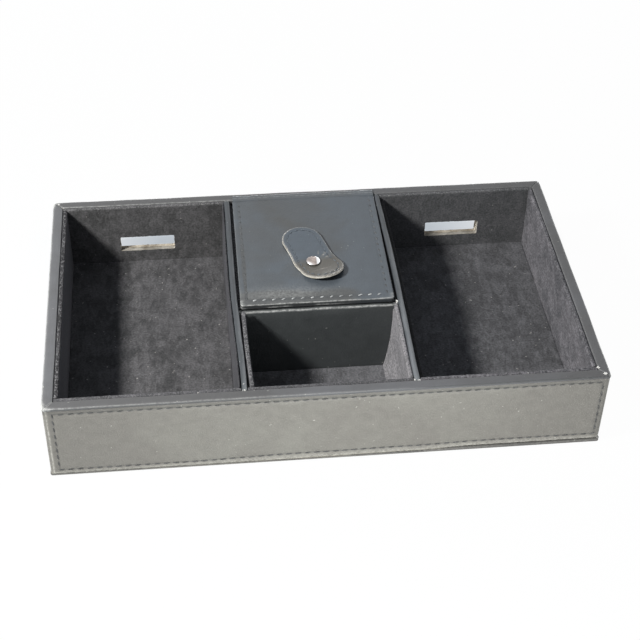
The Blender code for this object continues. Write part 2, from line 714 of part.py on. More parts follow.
def build_tray():
    """Build every piece of the tray."""
    clear_scene()
    finishes = make_finishes()
    slot_cutters = build_slot_cutters()
    build_base(finishes)
    build_walls(finishes, slot_cutters)
    build_dividers(finishes)
    build_cross_divider(finishes)
    build_side_bay("left_bay", -1, finishes["velvet"], slot_cutters["left"])
    build_side_bay("right_bay", 1, finishes["velvet"], slot_cutters["right"], LOW_CARD_DROP)
    build_coin_bay(finishes["velvet"])
    build_lidded_bay(finishes["velvet"])
    hinge_axis = build_hinge_axis()
    build_lid(finishes, hinge_axis)
    build_hinge_strap(finishes)
    build_pull_tab(finishes, hinge_axis)
    build_rivet(finishes, hinge_axis)


build_tray()
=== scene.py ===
"""Visual scene of the desk organizer tray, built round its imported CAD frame.

All shapes are worked out in millimetres and put into the meshes in metres. The front of the tray
looks along -Y, +Z is up, and the origin is the middle of the underside.
"""

import logging
import math
from dataclasses import dataclass, field
from enum import Enum
from functools import cache, partial
from typing import Callable, Sequence

import bmesh
import bpy
import numpy as np
from mathutils import Matrix, Vector


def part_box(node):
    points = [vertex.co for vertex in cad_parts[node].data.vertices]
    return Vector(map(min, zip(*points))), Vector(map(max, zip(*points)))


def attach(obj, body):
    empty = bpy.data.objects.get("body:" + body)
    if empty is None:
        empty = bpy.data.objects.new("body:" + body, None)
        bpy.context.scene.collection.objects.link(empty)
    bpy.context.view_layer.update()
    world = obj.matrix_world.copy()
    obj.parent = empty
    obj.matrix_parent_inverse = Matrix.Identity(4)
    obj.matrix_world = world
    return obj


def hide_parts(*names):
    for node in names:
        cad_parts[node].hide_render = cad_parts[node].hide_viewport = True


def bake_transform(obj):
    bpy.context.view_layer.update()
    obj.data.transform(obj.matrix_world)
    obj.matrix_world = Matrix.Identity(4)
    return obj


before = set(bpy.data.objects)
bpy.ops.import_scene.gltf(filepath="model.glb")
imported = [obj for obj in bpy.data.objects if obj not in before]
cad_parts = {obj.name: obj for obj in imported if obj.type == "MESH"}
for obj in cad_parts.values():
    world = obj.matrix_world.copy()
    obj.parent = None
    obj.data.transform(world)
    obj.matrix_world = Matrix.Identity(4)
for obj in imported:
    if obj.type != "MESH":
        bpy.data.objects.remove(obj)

LOG = logging.getLogger("tray")
MM = 0.001
TAU = 2.0 * math.pi
WHITE = (1.0, 1.0, 1.0, 1.0)
# Point attributes that every piece carries: wear with painted highlights, painted shade, and tone
# with painted light.
SHADES = ("wear_and_highlight", "seam", "tone")

Colour = tuple[float, float, float, float]
Socket = bpy.types.NodeSocket
Add = Callable[..., Socket]


# Colour and node helpers


def linear(hex_colour: str) -> Colour:
    """Turn an sRGB hex colour into linear light.

    Args:
        hex_colour: Six hex digits with a leading hash.

    Returns:
        Linear red, green, blue and an alpha of one.
    """
    parts = [int(hex_colour[i:i + 2], 16) / 255.0 for i in (1, 3, 5)]
    light = [p / 12.92 if p <= 0.04045 else ((p + 0.055) / 1.055) ** 2.4 for p in parts]
    return (light[0], light[1], light[2], 1.0)


def feed(tree: bpy.types.NodeTree, node: bpy.types.Node, inputs: dict) -> None:
    """Give a node's inputs their sockets or fixed values.

    Args:
        tree: The tree that holds the node.
        node: The node.
        inputs: Input name or index to the socket or the value that it takes.
    """
    for key, given in inputs.items():
        if isinstance(given, Socket):
            tree.links.new(given, node.inputs[key])
        else:
            node.inputs[key].default_value = given


def add_node(
    tree: bpy.types.NodeTree, kind: str, inputs: dict | None = None, output: int | str = 0,
    **settings: object,
) -> Socket:
    """Add one node with its settings and what feeds it.

    Args:
        tree: The tree that takes the node.
        kind: The node's type, without the "ShaderNode" that all types start with.
        inputs: Input name or index to the socket or the value that it takes.
        output: Name or index of the wanted output.
        settings: Attributes of the node.

    Returns:
        The wanted output's socket.
    """
    node = tree.nodes.new("ShaderNode" + kind)
    for key, value in settings.items():
        setattr(node, key, value)
    feed(tree, node, inputs or {})
    return node.outputs[output]


@dataclass(frozen=True)
class Grain:
    """An irregular pattern whose largest features have a real size, longer along some axes."""

    size_mm: float
    detail: float = 2.0
    swirl: float = 0.0
    drawn: tuple[float, float, float] = (1.0, 1.0, 1.0)

    def over(self, add: Add, place: Socket) -> Socket:
        """Lay the pattern over a piece.

        Args:
            add: Adds a node to the material's tree.
            place: Object coordinates in metres.

        Returns:
            The pattern's value.
        """
        scale = tuple(1.0 / (self.size_mm * MM * longer) for longer in self.drawn)
        return add("TexNoise", {
            "Vector": add("Mapping", {"Vector": place, "Scale": scale}), "Scale": 1.0,
            "Detail": self.detail, "Roughness": 0.55, "Distortion": self.swirl})


def coated(add: Add, colour: Socket | Colour, *coats: tuple[Socket, str]) -> Socket:
    """Lay coats of colour over one another.

    Args:
        add: Adds a node to the material's tree.
        colour: The ground under the coats.
        coats: The share that each coat covers, and its hex colour.

    Returns:
        The colour on top.
    """
    for share, coat in coats:
        colour = add("Mix", {0: share, 6: colour, 7: linear(coat)}, 2, data_type="RGBA")
    return colour


@dataclass(frozen=True)
class Surface:
    """What all finishes share: a name, a main colour and a second one that breaks it up."""

    name: str
    colour: str
    second: str

    def make(self) -> bpy.types.Material:
        """Build the finish on a Principled shader.

        Returns:
            The finished material.
        """
        material = bpy.data.materials.new(self.name)
        material.use_nodes = True
        tree = material.node_tree
        add = partial(add_node, tree)
        inputs, height, strength, depth_mm = self.looks(add, add("TexCoord", output="Object"))
        inputs["Normal"] = add(
            "Bump", {"Height": height, "Strength": strength, "Distance": depth_mm * MM})
        feed(tree, tree.nodes["Principled BSDF"], inputs)
        return material

    def looks(self, add: Add, place: Socket) -> tuple[dict, Socket, float, float]:
        """Work out the finish.

        Args:
            add: Adds a node to the material's tree.
            place: Object coordinates in metres.

        Returns:
            The shader's inputs, and the relief's height, strength and depth in millimetres.
        """
        raise NotImplementedError


# Finishes


@dataclass(frozen=True)
class Leather(Surface):
    """Split leather with a pigmented, embossed face and a satin top coat.

    The coat gives a soft broad gloss and the embossing a fine pebble; folds are painted paler, for
    wear and as highlights.
    """

    wear_and_highlight_colour: str = "#b9bab8"
    roughness: float = 0.46
    pebble_mm: float = 1.1
    cloud_mm: float = 42.0
    crease_matt: float = 0.4

    def looks(self, add: Add, place: Socket) -> tuple[dict, Socket, float, float]:
        """Pigment, wear with painted highlights, painted shade and dust over a pebble of small
        cells.

        Args:
            add: Adds a node to the material's tree.
            place: Object coordinates in metres.

        Returns:
            The shader's inputs, and the relief's height, strength and depth in millimetres.
        """
        wear_and_highlight, seam, tone = (add("Attribute", None, "Fac", attribute_name=name) for name in SHADES)
        # The batch varies slowly in tone; the attribute leans it lighter or darker over parts of a
        # piece, also to paint light and shade.
        drift = Grain(self.cloud_mm, 3.0, 0.6).over(add, place)
        cloud = add("MapRange", {0: add("Math", {0: drift, 1: tone}), 1: 0.80, 2: 1.20})
        mottle = add("MapRange", {
            0: Grain(6.0, 3.0).over(add, place), 1: 0.3, 2: 0.7})
        fleck = add("MapRange", {0: mottle, 3: 0.94, 4: 1.06})
        colour = add("Mix", {0: 1.0, 6: coated(add, linear(self.colour), (cloud, self.second)),
                             7: fleck}, 2, data_type="RGBA", blend_type="MULTIPLY")
        # Folds and cut corners are painted paler, for worn pigment and as painted highlights; the
        # attribute says where, the noise breaks it up.
        broken = add("MapRange", {
            0: Grain(1.6).over(add, place), 1: 0.34, 2: 0.62, 3: 0.25})
        worn = add("Math", {0: wear_and_highlight, 1: broken}, operation="MULTIPLY")
        # Dust and lint: specks of about 0.4 mm, drawn coarser than real dust so that they show.
        dust = Grain(1.5, 0.0).over(add, place)
        speck = add("MapRange", {0: dust, 1: 0.85, 2: 0.885, 4: 0.4})
        # Painted shade in creases, joints and under lips is mixed in as near black.
        colour = coated(
            add, colour, (worn, self.wear_and_highlight_colour), (seam, "#26292b"), (speck, "#c9c8c2"))
        # A crease under stitches keeps no polish.
        gloss = add("Math", {
            0: add("MapRange", {0: mottle, 3: self.roughness - 0.05, 4: self.roughness + 0.06}),
            1: add("Math", {0: seam, 1: self.crease_matt}, operation="MULTIPLY")})
        cells = add("TexVoronoi", {
            "Vector": place, "Scale": 1.0 / (self.pebble_mm * MM), "Smoothness": 0.6,
        }, "Distance", feature="SMOOTH_F1")
        swell = Grain(9.0).over(add, place)
        return ({"Base Color": colour, "Roughness": gloss, "IOR": 1.5, "Specular IOR Level": 0.5},
                add("Math", {0: cells, 1: swell}), 0.4, 0.25)


@dataclass(frozen=True)
class Velvet(Surface):
    """Flocked velvet: short nylon pile stood up on a woven back.

    The pile gives a matt, mottled face and streaks where it is brushed; its top edges are painted
    with glints, as if they caught the light.
    """

    glint: str = "#a2a1a3"
    sheen: float = 0.35
    grain: float = 0.3

    def looks(self, add: Add, place: Socket) -> tuple[dict, Socket, float, float]:
        """Nap, streaks, tufts, painted glints on the edges and lint.

        Args:
            add: Adds a node to the material's tree.
            place: Object coordinates in metres.

        Returns:
            The shader's inputs, and the relief's height, strength and depth in millimetres.
        """
        nap = add("MapRange", {
            0: Grain(26.0, 3.0, 1.4).over(add, place), 1: 0.33, 2: 0.67})
        streak = add("MapRange", {
            0: Grain(4.2, 3.0, 0.9, drawn=(1.0, 2.2, 1.4)).over(add, place), 1: 0.36, 2: 0.66})
        brushed = add("MapRange", {0: add("Math", {0: nap, 1: streak}), 1: 0.35, 2: 1.65})
        # Single fibres are 0.02 mm; tufts of about 0.6 mm are drawn so that the pile shows.
        tuft = Grain(1.3, 3.0).over(add, place)
        grain = add("MapRange", {
            0: tuft, 1: 0.32, 2: 0.68, 3: 1.0 - self.grain, 4: 1.0 + self.grain})
        colour = add("Mix", {0: 1.0, 6: coated(add, linear(self.colour), (brushed, self.second)),
                             7: grain}, 2, data_type="RGBA", blend_type="MULTIPLY")
        # The attribute paints speckled glints onto top edges.
        spark = add("MapRange", {
            0: Grain(0.9, 1.0).over(add, place), 1: 0.50, 2: 0.66})
        wear_and_highlight = add("Attribute", None, "Fac", attribute_name="wear_and_highlight")
        edge = add("Math", {0: wear_and_highlight, 1: spark}, operation="MULTIPLY")
        lint = add("MapRange", {
            0: Grain(1.7, 0.0).over(add, place), 1: 0.82, 2: 0.87, 4: 0.6})
        colour = coated(add, colour, (edge, self.glint), (lint, "#bdbab6"))
        return ({"Base Color": colour, "Roughness": 0.95, "Specular IOR Level": 0.15,
                 "Sheen Weight": self.sheen, "Sheen Roughness": 0.45,
                 "Sheen Tint": linear("#c9c8cf")}, tuft, 0.6, 0.3)


@dataclass(frozen=True)
class RawBoard(Surface):
    """Sawn fibreboard: pale compressed wood fibre, cut rough, with fuzzy bright fibres."""

    dirt: str

    def looks(self, add: Add, place: Socket) -> tuple[dict, Socket, float, float]:
        """Drawn-out fibres and a dirty stain.

        Args:
            add: Adds a node to the material's tree.
            place: Object coordinates in metres.

        Returns:
            The shader's inputs, and the relief's height, strength and depth in millimetres.
        """
        fibre = add("MapRange", {
            0: Grain(0.9, 4.0, drawn=(3.0, 1.0, 0.6)).over(add, place), 1: 0.35, 2: 0.65})
        stain = add("MapRange", {
            0: Grain(9.0).over(add, place), 1: 0.38, 2: 0.68})
        colour = coated(add, linear(self.colour), (fibre, self.second), (stain, self.dirt))
        return ({"Base Color": colour, "Roughness": 0.9, "Specular IOR Level": 0.2},
                fibre, 0.8, 0.3)


@dataclass(frozen=True)
class Nickel(Surface):
    """Nickel plate on a pressed steel cap: bright, slightly warm, with hairline scratches."""

    roughness: float

    def looks(self, add: Add, place: Socket) -> tuple[dict, Socket, float, float]:
        """Tarnish, painted highlights and scratches.

        Args:
            add: Adds a node to the material's tree.
            place: Object coordinates in metres.

        Returns:
            The shader's inputs, and the relief's height, strength and depth in millimetres.
        """
        scratch = Grain(0.5, 3.0, 0.3, drawn=(6.0, 1.0, 1.0)).over(add, place)
        tarnish = add("MapRange", {
            0: Grain(2.4).over(add, place), 1: 0.4, 2: 0.7})
        # The attribute paints white highlights onto the cap, on its rolled lip and its right side.
        lip = add("Attribute", None, "Fac", attribute_name="wear_and_highlight")
        colour = coated(add, linear(self.colour), (tarnish, self.second), (lip, "#f6f8fa"))
        gloss = add("MapRange", {
            0: scratch, 1: 0.35, 2: 0.7, 3: self.roughness, 4: self.roughness + 0.12})
        return {"Base Color": colour, "Roughness": gloss, "Metallic": 1.0}, scratch, 0.15, 0.05


@dataclass(frozen=True)
class Thread(Surface):
    """Twisted polyester sewing thread: a soft gloss broken by the twist."""

    roughness: float = 0.45

    def looks(self, add: Add, place: Socket) -> tuple[dict, Socket, float, float]:
        """The twist's plies, 0.2 mm apart, are drawn at 0.35 mm.

        Args:
            add: Adds a node to the material's tree.
            place: Object coordinates in metres.

        Returns:
            The shader's inputs, and the relief's height, strength and depth in millimetres.
        """
        # The wave node's bands run along the diagonal, ten times as close as its scale.
        scale = TAU / (10.0 * math.sqrt(3.0) * 0.35 * MM)
        plies = add(
            "TexWave", {"Vector": place, "Scale": scale, "Distortion": 1.5, "Detail": 1.0}, "Fac",
            wave_type="BANDS", bands_direction="DIAGONAL")
        worn = add("MapRange", {
            0: Grain(5.0).over(add, place), 1: 0.4, 2: 0.7})
        colour = coated(add, linear(self.colour), (worn, self.second))
        return {"Base Color": colour, "Roughness": self.roughness}, plies, 0.5, 0.1


class Finish(Enum):
    """Every finish on the tray."""

    # All leathers stand for one grey leather, painted in copies for how light falls: panels paler,
    # base and divider face darker, lid and tab bluer for reflection.
    RIM = Leather("satin_leather_rim", "#68696c", "#5b5b5c")
    WRAP = Leather("satin_leather_wrap", "#777b7f", "#474b4f")
    LID = Leather("satin_leather_lid", "#575e65", "#515354", "#c0c1bf", 0.38)
    PANEL = Leather("satin_leather_panel", "#72716b", "#696762", "#aba9a2", 0.42)
    BASE = Leather("satin_leather_base", "#595854", "#464543", "#8f8e89")
    CROSS = Leather("satin_leather_divider_face", "#434647", "#3a3d3e", "#c6c7c5", 0.5)
    TAB = Leather("satin_leather_tab", "#555e67", "#5c5a55", "#b5b0a8", 0.34)
    TAB_EDGE = RawBoard("cut_leather_edge", "#e3dfd3", "#f4f1e9", "#bdb6a6")
    # Floor, wall and back velvets are copies of one velvet, each painted lighter or darker for the
    # light that falls there.
    VELVET_FLOOR = Velvet("flocked_velvet_floor", "#454546", "#636264")
    VELVET_GLUED = Velvet("flocked_velvet_glued_on", "#353537", "#47474a", "#6d6c70")
    VELVET_WALL = Velvet("flocked_velvet_wall", "#4e4e50", "#5f5e61")
    VELVET_BACK = Velvet("flocked_velvet_back", "#494949", "#656465")
    # Painted light: the coin bay's right card, which faces the lamp, is painted brighter.
    VELVET_BRIGHT = Velvet("flocked_velvet_painted_light", "#727173", "#8e8c8f", grain=0.55)
    # Painted shade: the left bay's left wall, which lies in the lamp's shadow.
    VELVET_SHADED = Velvet("flocked_velvet_shaded", "#2b2b2c", "#343436")
    # Copies painted paler for the light in the right bay and the coin bay.
    VELVET_LIT_FLOOR = Velvet("flocked_velvet_floor_painted_light", "#505052", "#6c6c6f")
    VELVET_LIT_WALL = Velvet("flocked_velvet_wall_painted_light", "#525255", "#777579", grain=0.6)
    VELVET_LIT_BACK = Velvet("flocked_velvet_back_painted_light", "#565758", "#68686a")
    # Painted shade: the right bay's left card, which lies in its divider's shadow.
    VELVET_DARK = Velvet("flocked_velvet_painted_shade", "#2c2c2d", "#363637", "#4a4a4c", 0.1)
    BOARD = RawBoard("sawn_fibreboard", "#b8ad9b", "#d8d0c2", "#94897a")
    CARD = RawBoard("grey_card", "#a9a49b", "#bdb9b1", "#8b857b")
    NICKEL = Nickel("nickel_plate", "#b9aca6", "#8f8783", 0.24)
    THREAD = Thread("polyester_thread_dark", "#333434", "#464747")
    LID_THREAD = Thread("polyester_thread_grey", "#3f4244", "#66696a")
    TAB_THREAD = Thread("polyester_thread_toned", "#4c545c", "#666e75")
    # This thread is painted bright as the highlight on the lid's front row.
    BRIGHT_THREAD = Thread("polyester_thread_painted_highlight", "#9a9d9e", "#cfd1d1")
    HOLE = Thread("needle_hole_shadow", "#1c1d1e", "#232425", 0.9)
    GLUE = Thread("dried_glue", "#e2e1dd", "#f1f0ed", 0.35)


class Slot(Enum):
    """Material slots."""

    LEATHER = "grey_leather"
    VELVET = "charcoal_velvet"
    BOARD = "raw_fibreboard"
    CARD = "grey_card"
    NICKEL = "nickel_rivet"


@cache
def material_of(finish: Finish) -> bpy.types.Material:
    """The material of a finish, made on first use."""
    return finish.value.make()


# Shape helpers


def joined(*parts: np.ndarray | float) -> np.ndarray:
    """Coordinates brought to one shape and joined along a new last axis."""
    return np.stack(np.broadcast_arrays(*parts), axis=-1)


def unit(vectors: np.ndarray) -> np.ndarray:
    """Vectors along the last axis, each divided by its length."""
    return vectors / np.linalg.norm(vectors, axis=-1, keepdims=True)


def waves(points: np.ndarray, size: float, seed: int, count: int = 9) -> np.ndarray:
    """Smooth random waves: the mean of sines that run in random directions at about one size.

    Args:
        points: Places in millimetres, the last axis being X, Y and Z.
        size: Wavelength in millimetres.
        seed: Seed of the directions, lengths and phases.
        count: How many sines are summed.

    Returns:
        A value of about -1 to 1 at every place.
    """
    rng = np.random.default_rng(seed)
    directions = unit(rng.normal(size=(count, 3)))
    lengths = size * rng.uniform(0.7, 1.5, count)
    phases = rng.uniform(0.0, TAU, count)
    turns = points @ (directions / lengths[:, None]).T * TAU + phases
    return np.sin(turns).sum(axis=-1) / math.sqrt(count)


def bump_at(distance: np.ndarray, width: float) -> np.ndarray:
    """A smooth hump: one at no distance, falling off as a bell of the given width."""
    return np.exp(-(distance / width) ** 2)


def smoothstep(value: np.ndarray, low: float, high: float) -> np.ndarray:
    """Zero below low, one above high, and 3t squared less 2t cubed between."""
    t = np.clip((value - low) / (high - low), 0.0, 1.0)
    return t * t * (3.0 - 2.0 * t)


def box_distance(
    a: np.ndarray, b: np.ndarray, half_a: float, half_b: float, corner: float,
) -> np.ndarray:
    """Distance to the outline of a rounded rectangle about the origin, negative inside it.

    Args:
        a: First coordinate of the places.
        b: Second coordinate of the places.
        half_a: Half length along the first coordinate.
        half_b: Half length along the second coordinate.
        corner: Corner radius.

    Returns:
        The signed distance at every place.
    """
    out_a = np.abs(a) - (half_a - corner)
    out_b = np.abs(b) - (half_b - corner)
    outside = np.hypot(np.maximum(out_a, 0.0), np.maximum(out_b, 0.0))
    return outside + np.minimum(np.maximum(out_a, out_b), 0.0) - corner


def spread(stops: Sequence[float], steps: Sequence[int]) -> np.ndarray:
    """Values that run through stops, each stretch divided evenly into its own number of steps."""
    parts = [np.linspace(a, b, n, endpoint=False) for a, b, n in zip(stops, stops[1:], steps)]
    return np.concatenate(parts + [np.array([stops[-1]])])


def eased_run(half: float, step: float, end: float = 4.0, fine: int = 14) -> np.ndarray:
    """Places from -half to half, close together near both ends and a step apart between.

    Args:
        half: Half the run.
        step: Distance between the places in the middle.
        end: Length of the close stretch at each end.
        fine: How many places each close stretch has.

    Returns:
        The places, in order.
    """
    middle = max(int(2.0 * (half - end) / step), 2)
    ease = np.linspace(0.0, 1.0, fine) ** 1.6 * end
    low = -half + ease[:-1]
    return np.concatenate([low, np.linspace(-half + end, half - end, middle), -low[::-1]])


def rounded_path(half_a: float, half_b: float, corner: float, step: float) -> np.ndarray:
    """Points round a rounded rectangle, anticlockwise, evenly spaced on its straights and arcs.

    Args:
        half_a: Half length along the first axis.
        half_b: Half length along the second axis.
        corner: Corner radius.
        step: Distance between points.

    Returns:
        Pairs of coordinates.
    """
    flat_a, flat_b = half_a - corner, half_b - corner
    quarter = math.pi / 2
    turn = np.linspace(0.0, quarter, max(int(corner * quarter / step), 5))
    arcs = [
        joined(sign_a * flat_a + corner * np.cos(turn + k * quarter),
               sign_b * flat_b + corner * np.sin(turn + k * quarter))
        for k, (sign_a, sign_b) in enumerate(((1, 1), (-1, 1), (-1, -1), (1, -1)))]
    parts = []
    for arc, following in zip(arcs, arcs[1:] + arcs[:1]):
        start, end = arc[-1], following[0]
        many = max(int(np.linalg.norm(end - start) / step), 2)
        share = np.linspace(0.0, 1.0, many + 1)[1:-1, None]
        parts += [arc, start + (end - start) * share]
    return np.concatenate(parts)


def rings(
    halves: Sequence[float], corner: float, step: float, insets: Sequence[float],
    levels: Sequence[float], least: float, middle: Sequence[float] = (0.0, 0.0),
) -> np.ndarray:
    """Loops of a rounded rectangle, each drawn in by its inset and set at its level.

    Args:
        halves: Half lengths along X and Y.
        corner: Corner radius of the full outline.
        step: Distance between points.
        insets: How far each loop is drawn in.
        levels: Height of each loop.
        least: The smallest corner radius.
        middle: X and Y of the middle.

    Returns:
        The loops as rows, in which each point keeps its partners.
    """
    outline = rounded_path(halves[0], halves[1], corner, step)
    flat = np.array([halves[0] - corner, halves[1] - corner])
    core = np.clip(outline, -flat, flat)
    away = outline - core
    away = away / np.maximum(np.linalg.norm(away, axis=1, keepdims=True), 1e-9)
    loops = []
    for inset, level in zip(insets, levels):
        small = max(corner - inset, least)
        drawn = np.array([halves[0] - inset - small, halves[1] - inset - small])
        loop = core / flat * drawn + away * small + middle
        loops.append(joined(loop[:, 0], loop[:, 1], level))
    return np.array(loops)


# Along each long divider: Y, and how far its top stands over to the right there.
LEANS = (
    ((-83.0, 1.5), (-59.0, 1.5), (-35.0, 0.65), (-4.0, 0.1), (23.0, 0.2), (51.0, 0.55),
     (80.0, 1.0)),
    ((-75.0, 0.3), (-35.0, 0.85), (-4.0, 1.3), (18.0, 1.3), (40.0, 1.2), (62.0, 1.0), (85.0, 0.4)),
)


def leaned(points: np.ndarray) -> np.ndarray:
    """Points moved along X with the hand-set dividers, which bow and lean.

    The shift grows evenly with height, passes evenly from one divider to the other, and fades
    evenly to nothing at the side walls.

    Args:
        points: Places in millimetres.

    Returns:
        The moved places.
    """
    x, y, z = np.moveaxis(points, -1, 0)
    left, right = (
        np.mean([np.interp(y + near, *zip(*stops)) for near in (-9.0, -3.0, 3.0, 9.0)], axis=0)
        for stops in LEANS)
    share = np.clip(x / 109.0 + 0.5, 0.0, 1.0)
    fade = np.clip((165.0 - np.abs(x)) / 110.5, 0.0, 1.0) * np.clip((z - 8.0) / 46.0, 0.0, 1.0)
    return joined(x + (left + (right - left) * share) * fade, y, z)


@dataclass
class Patch:
    """A grid of points that becomes quads: closed loops in rows, with what they carry.

    The first and last loop are capped, or joined to each other where the patch is a hoop.
    """

    points: np.ndarray
    hoop: bool = False
    slot: int = 0
    row_slots: dict[int, int] = field(default_factory=dict)
    wear_and_highlight: np.ndarray | float = 0.0
    seam: np.ndarray | float = 0.0
    tone: np.ndarray | float = 0.5

    def faces(self, first: int) -> tuple[list[list[int]], list[int]]:
        """Work out the patch's faces.

        Args:
            first: Index of the patch's first point in the mesh.

        Returns:
            The faces as lists of point indices, and each face's material index.
        """
        index = np.arange(self.points[..., 0].size).reshape(self.points.shape[:2]) + first
        upper = index if self.hoop else index[:-1]
        lower = np.roll(index, -1, axis=0) if self.hoop else index[1:]
        quads = joined(upper, np.roll(upper, -1, axis=1), np.roll(lower, -1, axis=1), lower)
        slots = np.full(quads.shape[:2], self.slot)
        for row, slot in self.row_slots.items():
            slots[row] = slot
        faces = quads.reshape(-1, 4).tolist()
        marks = slots.reshape(-1).tolist()
        if not self.hoop:
            faces += [index[0].tolist(), index[-1].tolist()]
            marks += [self.slot] * 2
        return faces, marks


def make_piece(
    name: str, patches: Sequence[Patch], finishes: Sequence[Finish], sharp: float = 50.0,
) -> bpy.types.Object:
    """Make one object from patches in millimetres.

    Args:
        name: The piece's name.
        patches: The grids that form it.
        finishes: Its finishes, in the order of the patches' slots.
        sharp: Edges over this angle in degrees stay sharp.

    Returns:
        The object, at the origin, with its faces turned outwards.
    """
    faces: list[list[int]] = []
    marks: list[int] = []
    first = 0
    for patch in patches:
        found, slots = patch.faces(first)
        faces += found
        marks += slots
        first += patch.points[..., 0].size
    points = np.concatenate([patch.points.reshape(-1, 3) for patch in patches])
    mesh = bpy.data.meshes.new(name)
    mesh.from_pydata((points * MM).tolist(), [], faces)
    for key in SHADES:
        shade = np.concatenate([
            np.broadcast_to(getattr(patch, key), patch.points.shape[:2]).reshape(-1)
            for patch in patches])
        mesh.attributes.new(key, "FLOAT", "POINT").data.foreach_set(
            "value", shade.astype(np.float32))
    for finish in finishes:
        mesh.materials.append(material_of(finish))
    mesh.polygons.foreach_set("material_index", np.array(marks, dtype=np.int32))
    shape = bmesh.new()
    shape.from_mesh(mesh)
    bmesh.ops.recalc_face_normals(shape, faces=shape.faces)
    shape.to_mesh(mesh)
    shape.free()
    mesh.shade_smooth()
    mesh.set_sharp_from_angle(angle=math.radians(sharp))
    piece = bpy.data.objects.new(name, mesh)
    bpy.context.scene.collection.objects.link(piece)
    return piece


def settle(piece: bpy.types.Object, body: str, slot: Slot, *replaced: str) -> None:
    """Hand a finished piece to the frame.

    Args:
        piece: The piece.
        body: The CAD body that it moves with.
        slot: A material slot; not used.
        replaced: CAD nodes that it stands for.
    """
    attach(piece, body)
    if replaced:
        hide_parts(*replaced)
    LOG.info("%s: %d faces on %s", piece.name, len(piece.data.polygons), body)


def span(node: str) -> tuple[np.ndarray, np.ndarray]:
    """Lowest and highest corner of a CAD node in millimetres."""
    low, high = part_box(node)
    return np.array(low) / MM, np.array(high) / MM


# Stitching


@dataclass
class StitchRow:
    """A lockstitch row: short threads that dip into the leather at both ends.

    Each stitch is a tube whose radius swells as the root of one less s squared along it, and whose
    middle line sinks as the fourth power of s, with s from -1 to 1.
    """

    pitch: float = 5.8
    length: float = 4.3
    radius: float = 0.42
    height: float = 0.16
    dip: float = 0.55
    slant: float = 7.0
    hole: float = 0.42
    around: int = 8
    along: int = 8
    hole_around: int = 7

    def place(self, path: np.ndarray, up: np.ndarray, closed: bool, seed: int) -> list[Patch]:
        """Lay the stitches along a path.

        Args:
            path: Points of the row, on the leather, in millimetres.
            up: Outward direction of the leather.
            closed: Whether the path returns to its start.
            seed: Seed of the small differences between stitches.

        Returns:
            One patch for each stitch, and one for each needle hole.
        """
        if closed:
            path = np.concatenate([path, path[:1]])
        steps = np.linalg.norm(np.diff(path, axis=0), axis=1)
        reach = np.concatenate([[0.0], np.cumsum(steps)])
        count = max(int(round(reach[-1] / self.pitch)), 1)
        rng = np.random.default_rng(seed)
        middles = (np.arange(count) + 0.5) * reach[-1] / count
        places, ahead, behind = (
            np.stack([np.interp(middles + shift, reach, column) for column in path.T], axis=1)
            for shift in (0.0, 0.4, -0.4))
        forward = unit(ahead - behind)
        side = np.cross(up, forward)
        slant = np.radians(self.slant + rng.normal(0.0, 2.5, count))[:, None]
        forward, side = (forward * np.cos(slant) + side * np.sin(slant),
                         side * np.cos(slant) - forward * np.sin(slant))
        lengths = self.length * rng.uniform(0.92, 1.06, count) / 2.0
        s = np.sin(np.linspace(-0.5, 0.5, self.along) * math.pi * 0.985)[:, None]
        swell = self.radius * np.sqrt(np.maximum(1.0 - s ** 2, 0.0)) ** 0.7
        angle = np.arange(self.around) * TAU / self.around
        tube = joined(s, swell * np.cos(angle),
                      self.height + 0.8 * swell * np.sin(angle) - self.dip * s ** 4)
        stitches = [
            Patch(place + tube[..., :1] * half * way + tube[..., 1:2] * across + tube[..., 2:] * up)
            for place, way, across, half in zip(places, forward, side, lengths)]
        # The needle holes are flat round buttons, half sunk where each stitch goes down, whose dark
        # finish paints the holes' shadow.
        angle = (np.arange(self.hole_around) * TAU / self.hole_around)[:, None]
        holes = [
            Patch(np.stack([
                place + way * (half + 0.1) + level * up
                + self.hole * share * (np.cos(angle) * way + np.sin(angle) * across)
                for share, level in ((1.0, -0.10), (0.85, 0.03), (0.4, 0.06))]), slot=1)
            for place, way, across, half in zip(places, forward, side, lengths)]
        return stitches + (holes if self.hole > 0.0 else [])


# Sides of the tray

HALF_LENGTH, HALF_DEPTH = 171.1, 101.9
CORNER = 2.4
SLOT_CENTRES = (-108.3, 108.3)
# X and Y of the rivet, and the direction that a level face looks in.
RIVET = np.array([1.2, 19.55])
UP = np.array([0.0, 0.0, 1.0])


@dataclass(frozen=True)
class Side:
    """One outer side: how its own X, depth and Z lie in the tray's frame."""

    name: str
    turn: float
    half_run: float
    half_across: float

    def world(
        self, along: np.ndarray, inset: np.ndarray | float, level: np.ndarray,
    ) -> np.ndarray:
        """Put places on this side into the tray's frame.

        Args:
            along: Distance along the side from its middle.
            inset: Distance in from the tray's outer edge.
            level: Height.

        Returns:
            The places, with a last axis of X, Y and Z.
        """
        # In each corner's square the points are drawn in from the square's outline to its circle.
        u = np.maximum(CORNER - (self.half_run - np.abs(along)), 0.0)
        v = np.maximum(CORNER - inset, 0.0)
        draw = 1.0 - np.maximum(u, v) / np.maximum(np.hypot(u, v), 1e-9)
        along = along - np.sign(along) * u * draw
        y = -self.half_across + inset + v * draw
        cos, sin = math.cos(self.turn), math.sin(self.turn)
        return joined(along * cos - y * sin, along * sin + y * cos, level)

    def outward(self) -> np.ndarray:
        """The direction that the side faces."""
        return np.array([math.sin(self.turn), -math.cos(self.turn), 0.0])


SIDES = (
    Side("front", 0.0, HALF_LENGTH, HALF_DEPTH),
    Side("right", math.pi / 2, HALF_DEPTH, HALF_LENGTH),
    Side("back", math.pi, HALF_LENGTH, HALF_DEPTH),
    Side("left", -math.pi / 2, HALF_DEPTH, HALF_LENGTH),
)


